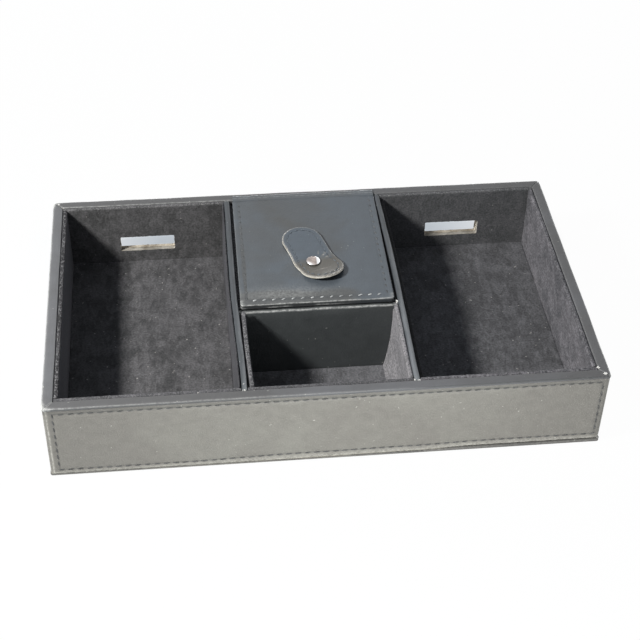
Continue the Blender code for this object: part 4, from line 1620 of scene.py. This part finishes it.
@dataclass
class Lid:
    """The lid: leather over a padded board, stitched on three sides, hinged on its own leather."""

    half_width: float = 49.4
    front: float = -18.45
    rear: float = 94.65
    top: float = 57.3
    foot: float = 52.7
    corner: float = 2.0
    fold: float = 1.15
    turn_in: float = 12.0
    thickness: float = 0.5
    side_margin: float = 4.1
    front_margin: float = 4.4
    stitch_corner: float = 2.5
    groove: float = 0.3
    pad: float = 0.34
    flap_front: float = 92.1
    flap_rear: float = 98.35
    hinge_y: float = 94.8
    post_hole: float = 1.85
    stitches: StitchRow = field(default_factory=lambda: StitchRow(
        pitch=6.2, length=3.2, radius=0.5, height=0.32, slant=24.0, hole=0.75))

    @property
    def half_length(self) -> float:
        """Half the lid's length."""
        return (self.rear - self.front) / 2

    @property
    def middle(self) -> float:
        """Y of the lid's middle."""
        return (self.rear + self.front) / 2

    def slid(self, points: np.ndarray) -> np.ndarray:
        """Points moved to the right, by 0.5 mm at the lid's front and 1 mm more at its rear."""
        share = (points[..., 1:2] - self.front) / (self.rear - self.front)
        return points + (0.5 + share) * [1.0, 0.0, 0.0]

    def row_distance(self, x: np.ndarray, y: np.ndarray) -> np.ndarray:
        """Distance to the stitch rows of the two sides and the front, the rear being open.

        Args:
            x: Distance from the tray's middle plane.
            y: Distance towards the back.

        Returns:
            The distance, negative inside the rows.
        """
        half_y = self.half_length - self.front_margin + 30.0
        centre_y = self.front + self.front_margin + half_y
        return box_distance(
            x, y - centre_y, self.half_width - self.side_margin, half_y, self.stitch_corner)

    def surface(self, x: np.ndarray, y: np.ndarray) -> np.ndarray:
        """Height of the lid's top, under its edge level.

        The pad swells inside the stitches, the stitches lie in a groove, the leather ripples a
        little, and the rear edge steps down under the hinge flap.

        Args:
            x: Distance from the tray's middle plane.
            y: Distance towards the back.

        Returns:
            How far the surface stands over (or under) the lid's top level.
        """
        row = self.row_distance(x, y)
        pad = self.pad * smoothstep(-row, 0.5, 9.0)
        groove = -self.groove * bump_at(row, 0.85)
        ripple = 0.05 * waves(joined(x, y, 0.0), 34.0, 151)
        step = -0.6 * smoothstep(y, self.flap_front - 0.3, self.flap_front + 0.2)
        return pad + groove + ripple + step - 0.42

    def build(self) -> None:
        """Build the cover, its stitches, the hinge flap, the velvet beneath and the card inside."""
        self.cover()
        self.sew()
        self.build_flap()
        self.line()
        self.stiffen()

    def cover(self) -> None:
        """Draw the leather over the lid's top and round its edges."""
        insets, levels = wrap_profile(
            -self.foot, -self.top, self.fold, self.turn_in, self.thickness)
        deep = np.concatenate([
            np.linspace(self.half_width - 2.2, 8.5, 26), spread((8.0, 2.4), (22,))])
        insets = np.concatenate([deep, insets[2:]])
        levels = np.concatenate([np.full(len(deep), -self.top), levels[2:]])
        points = rings((self.half_width, self.half_length), self.corner, 0.9, insets, -levels, 0.1,
                       (0.0, self.middle))
        on_top = smoothstep(points[..., 2], self.top - 0.9, self.top)
        outer = (np.arange(len(insets)) < len(insets) - 2)[:, None]
        points[..., 2] += on_top * outer * self.surface(points[..., 0], points[..., 1])
        front_on = smoothstep(-(points[..., 1] - self.front), -1.6, -0.2)
        points[..., 1] += front_on * 0.14 * waves(points, 20.0, 152)
        points[..., 2] += front_on * 0.1 * waves(points, 16.0, 153)
        patch = Patch(self.slid(points))
        self.wear(patch, points, on_top, outer)
        settle(make_piece("lid_leather", [patch], [Finish.LID]), "lid", Slot.LEATHER, "lid_cover")

    def wear(
        self, patch: Patch, points: np.ndarray, on_top: np.ndarray, outer: np.ndarray,
    ) -> None:
        """Give the cover wear and painted highlights on its folds, its painted shade and its tone.

        Args:
            patch: The cover.
            points: Its places before it was slid to the right.
            on_top: One on the top and zero on the sides.
            outer: Which rings are on the leather's outer side.
        """
        x, y, z = np.moveaxis(points, -1, 0)
        lip = -box_distance(x, y - self.middle, self.half_width, self.half_length, self.corner)
        at_front = smoothstep(-y, -self.front - 5.5, -self.front - 4.5)
        upper = smoothstep(z, self.top - 2.6, self.top - 1.0)
        # Its front face is painted pale along the lower fold at the left, and painted with shade
        # above it.
        fold_line = self.foot + 1.75
        left = 1.0 - smoothstep(x, 5.0, 30.0)
        lower = bump_at(z - fold_line, 0.45) * at_front * left
        ends = bump_at(np.abs(x) - self.half_width, 2.0) * at_front
        scuff = bump_at(np.hypot((x + 20.0) / 28.0, (y + 9.0) / 6.0), 1.0)
        streak = lower * smoothstep(waves(points, 22.0, 154), -0.8, 0.2)
        # The folds, most the front one, and the front's ends get painted highlights and wear; the
        # scuff on the top is wear.
        wear_and_highlight = bump_at(lip - 0.25, 0.45) * (0.12 + 0.8 * at_front) * upper
        wear_and_highlight += 1.1 * streak + 0.6 * ends + 0.32 * scuff * on_top
        patch.wear_and_highlight = np.clip(wear_and_highlight, 0.0, 1.0) * outer
        # Under its front fold and along the stitches the cover is painted with shade.
        shaded = (1.0 - smoothstep(z, self.top - 1.5, self.top - 0.95)) * at_front
        below = left * (1.0 - smoothstep(z, fold_line - 0.1, fold_line + 0.5))
        row = bump_at(self.row_distance(x, y), 0.6 + 0.4 * at_front)
        patch.seam = (0.3 + 0.7 * at_front) * row * on_top \
            + 0.75 * shaded * (1.0 - np.maximum(streak, 0.75 * below))
        # The tone paints a reflection, lighter and bluer to the right and towards the front, and
        # keeps the front left neutral.
        warm = smoothstep(-y, 3.0, 12.0) * (1.0 - smoothstep(x, 15.0, 40.0))
        patch.tone = 0.5 - 0.35 * smoothstep(x, 0.0, 40.0) - 0.2 * smoothstep(-y, -20.0, 3.0) \
            + 0.7 * warm

    def sew(self) -> None:
        """Sew the rows along both sides and the front."""
        side = self.half_width - self.side_margin
        front = self.front + self.front_margin
        corner = self.stitch_corner
        turn = np.linspace(0.0, math.pi / 2, 6)[1:-1]
        left = joined(-side, np.arange(self.flap_front - 2.0, front + corner, -0.8))
        left_turn = joined(
            -side + corner * (1 - np.cos(turn)), front + corner * (1 - np.sin(turn)))
        base = joined(np.arange(-side + corner, side - corner, 0.8), front)
        path = np.concatenate([
            left, left_turn, base, (left_turn * [-1, 1])[::-1], (left * [-1, 1])[::-1]])
        points = joined(*path.T, self.top + self.surface(*path.T))
        patches = self.stitches.place(self.slid(points), UP, False, 155)
        for patch in patches:
            # The front row's thread is painted bright, as a highlight.
            if patch.slot == 0 and patch.points[..., 1].mean() < front + 1.0:
                patch.slot = 2
        finishes = [Finish.LID_THREAD, Finish.HOLE, Finish.BRIGHT_THREAD]
        settle(make_piece("lid_stitches", patches, finishes), "lid", Slot.LEATHER)

    def build_flap(self) -> None:
        """Build the leather that runs from the lid over the fold line onto the rear rim."""
        along = eased_run(self.half_width - 0.3, 1.2, 3.0, 10)[:, None]
        line = spread((self.flap_front, self.flap_front + 0.8, 94.1, 96.4, self.flap_rear - 0.8,
                       self.flap_rear), (4, 4, 16, 4, 4))
        edge = np.minimum(line - self.flap_front, self.flap_rear - line)
        dip = 0.22 * bump_at(line - self.hinge_y, 0.7)
        upper = self.top - 0.28 * (1.0 - smoothstep(edge, 0.0, 0.7)) - dip
        lower = self.top - self.thickness - dip
        y = np.concatenate([line, line[::-1]])
        points = joined(along, y, np.concatenate([upper, lower[::-1]]))
        top_side = np.arange(len(y)) < len(line)
        points[..., 2] += top_side * 0.05 * waves(points, 17.0, 161)
        # The flap's rear edge and its fold over the hinge get painted highlights.
        wear_and_highlight = top_side * (0.35 * bump_at(y - self.flap_rear + 0.3, 0.5)
                          + 0.3 * bump_at(y - self.hinge_y - 0.9, 0.5))
        piece = make_piece("hinge_flap_leather", [Patch(self.slid(points), wear_and_highlight=wear_and_highlight)], [Finish.LID])
        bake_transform(piece)
        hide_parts("hinge_strap")
        LOG.info("%s: blended from tray to lid", piece.name)

    def line(self) -> None:
        """Build the velvet card on the lid's underside."""
        low, high = span("lid_lining")
        half = (high - low) / 2
        insets = [0.5, 0.1, 0.0, 0.1, 0.6, *np.linspace(2.0, half[0] - 2.0, 18)]
        levels = low[2] + np.array([0.8, 0.7, 0.45, 0.15] + [0.0] * 19)
        points = rings(half, 1.0, 1.4, insets, levels, 0.3, (high + low)[:2] / 2)
        under = smoothstep(-points[..., 2], -low[2] - 0.3, -low[2])
        points[..., 2] += under * (0.08 + 0.07 * waves(points, 30.0, 171))
        piece = make_piece("lid_velvet", [Patch(points)], [Finish.VELVET_WALL])
        settle(piece, "lid", Slot.VELVET, "lid_lining")

    def stiffen(self) -> None:
        """Build the card inside the leather, with a hole for the rivet's post."""
        low, high = span("lid_board")
        outline = rounded_path(*(high - low)[:2] / 2, 1.0, 2.0) + (high + low)[:2] / 2
        edge = self.slid(joined(*outline.T, 0.0))[:, :2]
        hole = RIVET + unit(edge - RIVET) * self.post_hole
        loops = [joined(*loop.T, level) for loop, level in (
            (edge, high[2]), (hole, high[2]), (hole, low[2]), (edge, low[2]))]
        piece = make_piece("lid_card", [Patch(np.array(loops), hoop=True)], [Finish.CARD])
        settle(piece, "lid", Slot.CARD, "lid_board")


# Pull tab and rivet


@dataclass
class PullTab:
    """The stitched pull tab: two lobes of doubled leather, curled up, with a raw pale edge."""

    foot: float = 57.55
    thickness: float = 1.6
    rear_radius: float = 13.4
    front_radius: float = 14.3
    rear_reach: float = 24.0
    front_reach: float = 6.8
    offset: float = 3.0
    left_waist: float = -1.2
    right_waist: float = 1.6
    waist_place: float = 0.35
    turn: float = math.radians(19.5)
    front_lift: float = 3.38
    rear_lift: float = 0.7
    curl: float = 1.5
    flat_radius: float = 4.6
    hole: float = 1.85
    margin: float = 3.4
    deepest: float = 8.0
    stitches: StitchRow = field(default_factory=lambda: StitchRow(
        pitch=4.4, length=3.2, radius=0.36, height=0.14, slant=6.0, hole=0.22))

    def outline(self, inset: float) -> np.ndarray:
        """The tab's outline about its rivet, drawn in by an inset.

        Two half circles are joined by sides that draw in as a sine squared, most near the front.

        Args:
            inset: How far it is drawn in.

        Returns:
            Pairs of coordinates, anticlockwise, the rear lobe towards +Y.
        """
        turn = np.linspace(0.0, math.pi, 60)
        rear, front = self.rear_radius - inset, self.front_radius - inset
        rear = joined(self.offset + rear * np.cos(turn), self.rear_reach + rear * np.sin(turn))
        front = joined(
            self.offset - front * np.cos(turn), -self.front_reach - front * np.sin(turn))
        share = np.linspace(0.0, 1.0, 32)[1:-1, None]
        forward = math.log(0.5) / math.log(0.7)
        backward = math.log(0.5) / math.log(self.waist_place)
        left = rear[-1] + (front[0] - rear[-1]) * share \
            + np.sin(math.pi * share ** forward) ** 2 * [self.left_waist, 0.0]
        right = front[-1] + (rear[0] - front[-1]) * share \
            - np.sin(math.pi * share ** backward) ** 2 * [self.right_waist, 0.0]
        return np.concatenate([rear, left, front, right])

    def lift(self, y: np.ndarray) -> np.ndarray:
        """How far the tab has curled up, by a power of the way past the rivet's flat.

        Args:
            y: Distance behind the rivet.

        Returns:
            The height gained.
        """
        bent = np.maximum(np.abs(y) - self.flat_radius, 0.0)
        rear, front = (
            most * (bent / (reach + radius - self.flat_radius)) ** self.curl
            for most, reach, radius in (
                (self.rear_lift, self.rear_reach, self.rear_radius),
                (self.front_lift, self.front_reach, self.front_radius)))
        return np.where(y > 0.0, rear, front)

    def put(self, local: np.ndarray) -> np.ndarray:
        """Turn places about the rivet and set them on the lid.

        Args:
            local: Places with the rivet at X and Y of zero.

        Returns:
            The places in the tray's frame.
        """
        cos, sin = math.cos(self.turn), math.sin(self.turn)
        x, y, z = np.moveaxis(local, -1, 0)
        return joined(x * cos - y * sin + RIVET[0], x * sin + y * cos + RIVET[1], z)

    def creases(self, x: np.ndarray, y: np.ndarray) -> np.ndarray:
        """Short creases beside the rivet: bells across each line that fade at its ends.

        Args:
            x: Distance to the right of the rivet.
            y: Distance behind it.

        Returns:
            How strong the creases are at every place.
        """
        total = np.zeros_like(x)
        for x0, y0, x1, y1, strength in (
            (7.5, 3.0, 11.5, 5.5, 1.0), (8.5, 0.5, 12.5, 2.0, 0.8), (6.0, 5.5, 8.0, 9.0, 0.6),
            (-2.5, -9.5, 7.0, -9.8, 0.7), (10.0, 6.5, 13.0, 4.0, 0.7),
        ):
            length = math.hypot(x1 - x0, y1 - y0)
            ax, ay = (x1 - x0) / length, (y1 - y0) / length
            run = (x - x0) * ax + (y - y0) * ay
            off = (y - y0) * ax - (x - x0) * ay
            total += strength * bump_at(off, 0.35) * bump_at(run - length / 2, length * 0.45)
        return total

    def build(self) -> None:
        """Build the tab and its stitches."""
        insets = np.concatenate([[0.0], spread(
            (0.12, 0.9, self.margin - 1.2, self.margin + 1.2, self.deepest), (5, 4, 10, 7))])
        loops = [self.outline(inset) for inset in insets]
        inner = loops[-1]
        hole = unit(inner) * self.hole
        loops += [inner + (hole - inner) * share for share in np.linspace(0.0, 1.0, 14)[1:]]
        edge = np.concatenate([insets, np.full(len(loops) - len(insets), self.deepest)])[:, None]
        x, y = np.moveaxis(np.array(loops), -1, 0)
        crease = self.creases(x, y)
        upper = self.foot + self.thickness + self.lift(y) \
            - 0.16 * bump_at(edge - self.margin, 0.6) - 0.32 * (1.0 - smoothstep(edge, 0.0, 0.55)) \
            - 0.2 * crease + 0.05 * waves(joined(x, y, 0.0), 11.0, 181) \
            - 0.25 * bump_at(np.hypot(x, y) - self.flat_radius, 1.4)
        lower = self.foot + self.lift(y) + 0.2 * (1.0 - smoothstep(edge, 0.0, 0.5))
        waist = joined(*self.outline(-0.06).T, (upper[0] + lower[0]) / 2)[None]
        points = np.concatenate([joined(x, y, upper)[::-1], waist, joined(x, y, lower)])
        worn = 0.35 + 0.55 * np.maximum(smoothstep(-x, -4.0, 4.0), smoothstep(-y, 8.0, 14.0))
        # Only the upper side is worn and creased, with its edge painted paler, most on the left and
        # front as a painted highlight, and painted shade along the stitches; the raw edge and the
        # underside stay plain.
        wear_and_highlight, seam = np.zeros((2,) + points.shape[:2])
        rows = len(loops)
        wear_and_highlight[:rows] = (worn * bump_at(edge - 0.4, 0.5) + crease)[::-1]
        seam[:rows] = 0.14 * bump_at(edge - self.margin, 0.4)[::-1]
        patch = Patch(
            self.put(points), hoop=True, row_slots={rows - 1: 1, rows: 1}, wear_and_highlight=wear_and_highlight, seam=seam,
            tone=0.1 + 0.9 * smoothstep(-points[..., 1], -14.0, 10.0))
        piece = make_piece("pull_tab_leather", [patch], [Finish.TAB, Finish.TAB_EDGE])
        settle(piece, "tab", Slot.LEATHER, "pull_tab")
        path = self.outline(self.margin)
        level = self.foot + self.thickness + self.lift(path[:, 1]) - 0.1
        patches = self.stitches.place(self.put(joined(*path.T, level)), UP, True, 182)
        piece = make_piece("pull_tab_stitches", patches, [Finish.TAB_THREAD, Finish.HOLE])
        settle(piece, "tab", Slot.LEATHER)


@dataclass
class Rivet:
    """The rivet's pressed cap: a flat dome with a rolled edge and a hollow for the post."""

    foot: float = 59.4
    radius: float = 4.6
    height: float = 2.0
    socket: float = 1.85
    socket_depth: float = 0.9
    roll: float = 0.55
    around: int = 72

    def build(self) -> None:
        """Turn the cap's profile about its axis."""
        turn = np.linspace(-math.pi / 2, math.pi / 2, 9)
        roll_z = self.roll * 0.8 * (1.0 + np.sin(turn))
        share = np.linspace(1.0, 0.0, 16)[1:-1]
        radii = np.concatenate([
            [0.02, self.socket, self.socket], self.radius - self.roll + self.roll * np.cos(turn),
            (self.radius - self.roll) * share, [0.03]])[:, None]
        levels = np.concatenate([
            [self.socket_depth, self.socket_depth, 0.0], roll_z,
            roll_z[-1] + (self.height - roll_z[-1]) * (1.0 - share ** 2.4), [self.height]])
        angle = np.arange(self.around) * TAU / self.around
        points = joined(RIVET[0] + radii * np.cos(angle), RIVET[1] + radii * np.sin(angle),
                        (levels + self.foot)[:, None])
        # Painted highlights: a glint on the rolled lip at the front left and a white band over the
        # cap's right side.
        lip = bump_at(radii - self.radius + 0.2, 0.9)
        right = smoothstep(radii * np.cos(angle), 1.6, 2.6)
        patch = Patch(points, wear_and_highlight=np.maximum(lip * bump_at(angle - 4.0, 0.6), right))
        piece = make_piece("rivet_dome", [patch], [Finish.NICKEL], sharp=60.0)
        settle(piece, "lid", Slot.NICKEL, "rivet_cap")


@dataclass
class GlueBeads:
    """Small beads of dried glue where leather edges meet in the corners: X, Y, Z and radius."""

    spots: tuple[tuple[float, float, float, float], ...] = (
        (-51.1, -95.0, 56.3, 0.55), (-51.3, -89.7, 56.2, 0.4), (51.3, -94.7, 56.3, 0.6),
        (54.3, -95.0, 56.3, 0.45), (164.6, -93.4, 56.5, 0.95), (167.6, -99.0, 56.5, 0.9),
        (50.8, -20.8, 52.9, 0.6), (51.8, -19.3, 54.6, 0.85), (51.3, -20.0, 53.8, 0.5),
        (-49.8, -19.8, 52.6, 0.45), (14.0, -28.6, 9.7, 0.5), (-167.2, 99.0, 56.5, 0.5),
        (120.8, -94.6, 56.3, 0.4), (169.6, -101.0, 2.6, 0.5),
    )

    def build(self) -> None:
        """Build the beads as lumpy drops: spheres whose radius wanders."""
        turn = np.linspace(0.03, math.pi - 0.03, 9)[:, None]
        angle = np.arange(12) * TAU / 12
        ball = joined(np.sin(turn) * np.cos(angle), np.sin(turn) * np.sin(angle), np.cos(turn))
        patches = []
        for number, (*spot, radius) in enumerate(self.spots):
            lumpy = ball * (1.0 + 0.35 * waves(ball * radius * 4.0, 3.0, 190 + number))[..., None]
            stretch = [1.5 if number % 2 else 1.0, 1.0, 0.5]
            patches.append(Patch(lumpy * radius * stretch + spot))
        settle(make_piece("glue_beads", patches, [Finish.GLUE]), "tray", Slot.LEATHER)


# Boards


@dataclass
class Boards:
    """The hidden boards: some keep their CAD shapes, and the slotted one is cut rough."""

    kept: tuple[tuple[str, Finish], ...] = (
        ("floor_board", Finish.BOARD), ("front_wall_board", Finish.BOARD),
        ("left_wall_board", Finish.BOARD), ("right_wall_board", Finish.BOARD),
        ("base_board", Finish.CARD), ("rivet_post", Finish.NICKEL),
    )

    def build(self) -> None:
        """Give each kept node its finish, and build the slotted board and the dividers' cards."""
        for name, finish in self.kept:
            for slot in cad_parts[name].material_slots:
                slot.material = material_of(finish)
        low, high = span("back_wall_board")
        # The board reaches 0.5 mm nearer to the card in front of it, as pressed layers do.
        patch = self.plank(low - [0.0, 0.5, 0.0], high + [0.0, 0.3, 0.0], 0)
        piece = make_piece("back_wall_fibreboard", [patch], [Finish.BOARD, Finish.BOARD])
        CableSlot().cut(piece, SLOT_CENTRES, 201, Finish.BOARD)
        settle(piece, "tray", Slot.BOARD, "back_wall_board")
        for name, run in (("left_divider", 1), ("right_divider", 1), ("cross_divider", 0)):
            patch = self.plank(*span(name + "_board"), run)
            points = patch.points
            if name == "cross_divider":
                deep = 0.8 + (points[..., 1] > points[..., 1].mean()) * 2.0
                points[..., 1] = LeaningFace().y_at(points[..., 2], deep)
            piece = make_piece(name + "_card", [Patch(leaned(points))], [Finish.CARD])
            settle(piece, "tray", Slot.CARD, name + "_board")

    def plank(self, low: np.ndarray, high: np.ndarray, run: int) -> Patch:
        """A standing board.

        Args:
            low: Lowest corner.
            high: Highest corner.
            run: The axis that it runs along, 0 or 1.

        Returns:
            The board's patch.
        """
        along = eased_run((high[run] - low[run]) / 2, 4.0, 2.0, 4) + (high[run] + low[run]) / 2
        z = np.linspace(low[2], high[2], 14)
        across = np.repeat([low[1 - run], high[1 - run]], len(z))
        sides = (across, along[:, None]) if run else (along[:, None], across)
        return Patch(joined(*sides, np.concatenate([z, z[::-1]])))


# Stage


@dataclass(frozen=True)
class Lamp:
    """One area lamp that the camera doesn't see, with places in metres and power in watts."""

    name: str
    place: tuple[float, float, float]
    aim: tuple[float, float, float]
    size: tuple[float, float]
    power: float
    colour: str = "#fffefb"

    def hang(self) -> None:
        """Add the lamp to the scene."""
        data = bpy.data.lights.new(self.name, "AREA")
        data.shape = "RECTANGLE"
        data.size, data.size_y = self.size
        data.energy = self.power
        data.color = linear(self.colour)[:3]
        lamp = bpy.data.objects.new(self.name, data)
        bpy.context.scene.collection.objects.link(lamp)
        lamp.location = self.place
        way = Vector(self.aim) - Vector(self.place)
        lamp.rotation_euler = way.to_track_quat("-Z", "Y").to_euler()
        lamp.visible_camera = False


@dataclass
class Studio:
    """Camera, lamps, world and floor."""

    camera_place: tuple[float, float, float] = (-0.0800, -0.7035, 0.6449)
    camera_turns: tuple[float, float, float] = (-6.83, 48.81, 1.39)
    lens: float = 79.86
    world_strength: float = 0.22
    floor_reach: float = 4.0
    floor_drop: float = 0.0003
    # A key lamp at the upper left, and low soft lamps round the tray for its outer faces.
    lamps: tuple[Lamp, ...] = (
        Lamp("key", (-0.677, -0.3006, 0.707), (0.0, -0.02, 0.02), (0.13, 0.13), 11.9),
        Lamp("front_fill", (0.04, -0.4, 0.028), (0.04, 0.0, 0.028), (0.3, 0.05), 1.05),
        Lamp("right_fill", (0.72, 0.0, 0.028), (0.0, 0.0, 0.028), (1.0, 0.05), 2.2),
        Lamp("left_fill", (-0.72, 0.0, 0.028), (0.0, 0.0, 0.028), (1.0, 0.05), 2.2),
        Lamp("back_fill", (0.0, 0.62, 0.028), (0.0, 0.0, 0.028), (1.3, 0.05), 2.4, "#fbfdff"),
    )

    def build(self) -> None:
        """Set up everything round the tray."""
        self.shoot()
        for lamp in self.lamps:
            lamp.hang()
        self.lay_floor()
        self.shade_world()
        bpy.context.scene.view_settings.view_transform = "Standard"

    def shoot(self) -> None:
        """Place the camera where the photograph was taken from."""
        camera = bpy.data.objects.new("camera", bpy.data.cameras.new("camera"))
        bpy.context.scene.collection.objects.link(camera)
        first, tilt, roll = (math.radians(a) for a in self.camera_turns)
        turned = (
            Matrix.Rotation(first, 4, "Z") @ Matrix.Rotation(tilt, 4, "X")
            @ Matrix.Rotation(roll, 4, "Z"))
        camera.matrix_world = Matrix.Translation(self.camera_place) @ turned
        camera.data.sensor_width = 36.0
        camera.data.lens = self.lens
        bpy.context.scene.camera = camera

    def lay_floor(self) -> None:
        """A wide pale floor that looks white to the camera, keeps a soft shadow and has a painted
        shade behind the tray.
        """
        mesh = bpy.data.meshes.new("floor")
        reach = self.floor_reach
        corners = [(-reach, -reach), (reach, -reach), (reach, reach), (-reach, reach)]
        mesh.from_pydata([(x, y, -self.floor_drop) for x, y in corners], [], [[0, 1, 2, 3]])
        floor = bpy.data.objects.new("floor", mesh)
        bpy.context.scene.collection.objects.link(floor)
        material = bpy.data.materials.new("pale_floor")
        material.use_nodes = True
        tree = material.node_tree
        tree.nodes.remove(tree.nodes["Principled BSDF"])
        add = partial(add_node, tree)
        # Behind the tray the floor is painted with a soft bluish shade, which is seen through the
        # cable slots.
        way = add("VectorMath", {0: add("TexCoord", output="Object"), 1: (0.0, -0.119, 0.0)})
        way = add("VectorMath", {0: way, 1: (1 / 0.181, 1 / 0.052, 0.0)}, operation="MULTIPLY")
        # The square of the way in Y gives the painted shade a flat middle that starts under the
        # tray.
        steep = add("VectorMath", {0: way, 1: (0.0, 1.0, 0.0), 2: (1.0, 0.0, 0.0)},
                    operation="MULTIPLY_ADD")
        way = add("VectorMath", {0: way, 1: steep}, operation="MULTIPLY")
        far = add("VectorMath", {0: way}, "Value", operation="LENGTH")
        clear = add("MapRange", {0: far, 1: 0.55, 2: 1.1, 3: 0.47, 4: 0.98})
        # Inside the painted shade the floor is tinted bluish.
        cool = add("MapRange", {0: clear, 1: 0.47, 2: 0.8})
        colour = add("Mix", {0: cool, 6: linear("#eef6ff"), 7: WHITE}, 2, data_type="RGBA")
        share = add("Math", {0: self.seen_rays(add), 1: clear}, operation="MULTIPLY")
        feed(tree, tree.nodes["Material Output"], {"Surface": add("MixShader", {
            0: share, 1: add("BsdfDiffuse", {"Color": linear("#e4e9ec")}),
            2: add("Emission", {"Color": colour, "Strength": 1.0})})})
        mesh.materials.append(material)

    def seen_rays(self, add: Add) -> Socket:
        """One for camera, glossy and transmission rays, and zero for the rest.

        Args:
            add: Adds a node to the tree.

        Returns:
            The value's socket.
        """
        rays = add("LightPath").node.outputs
        first = add("Math", {0: rays["Is Camera Ray"], 1: rays["Is Glossy Ray"]},
                    operation="MAXIMUM")
        return add("Math", {0: first, 1: rays["Is Transmission Ray"]}, operation="MAXIMUM")

    def shade_world(self) -> None:
        """A soft cool surround for light, and white where the camera sees past the floor."""
        world = bpy.data.worlds.new("studio")
        world.use_nodes = True
        tree = world.node_tree
        add = partial(add_node, tree)
        soft = tree.nodes["Background"]
        feed(tree, soft, {"Color": linear("#e6eef8"), "Strength": self.world_strength})
        feed(tree, tree.nodes["World Output"], {"Surface": add("MixShader", {
            0: self.seen_rays(add), 1: soft.outputs[0],
            2: add("Background", {"Color": WHITE, "Strength": 1.0})})})
        bpy.context.scene.world = world


def main() -> None:
    """Build the whole scene, sub-assembly by sub-assembly."""
    logging.basicConfig(level=logging.INFO, format="%(name)s: %(message)s")
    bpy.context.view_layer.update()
    for part in (
        Studio(), BaseCover(), Boards(), OuterPanels(), Rims(), DividerWraps(), CrossDivider(),
        Linings(), Lid(), PullTab(), Rivet(), GlueBeads(),
    ):
        LOG.info("building %s", type(part).__name__)
        part.build()


if __name__ == "__main__":
    main()
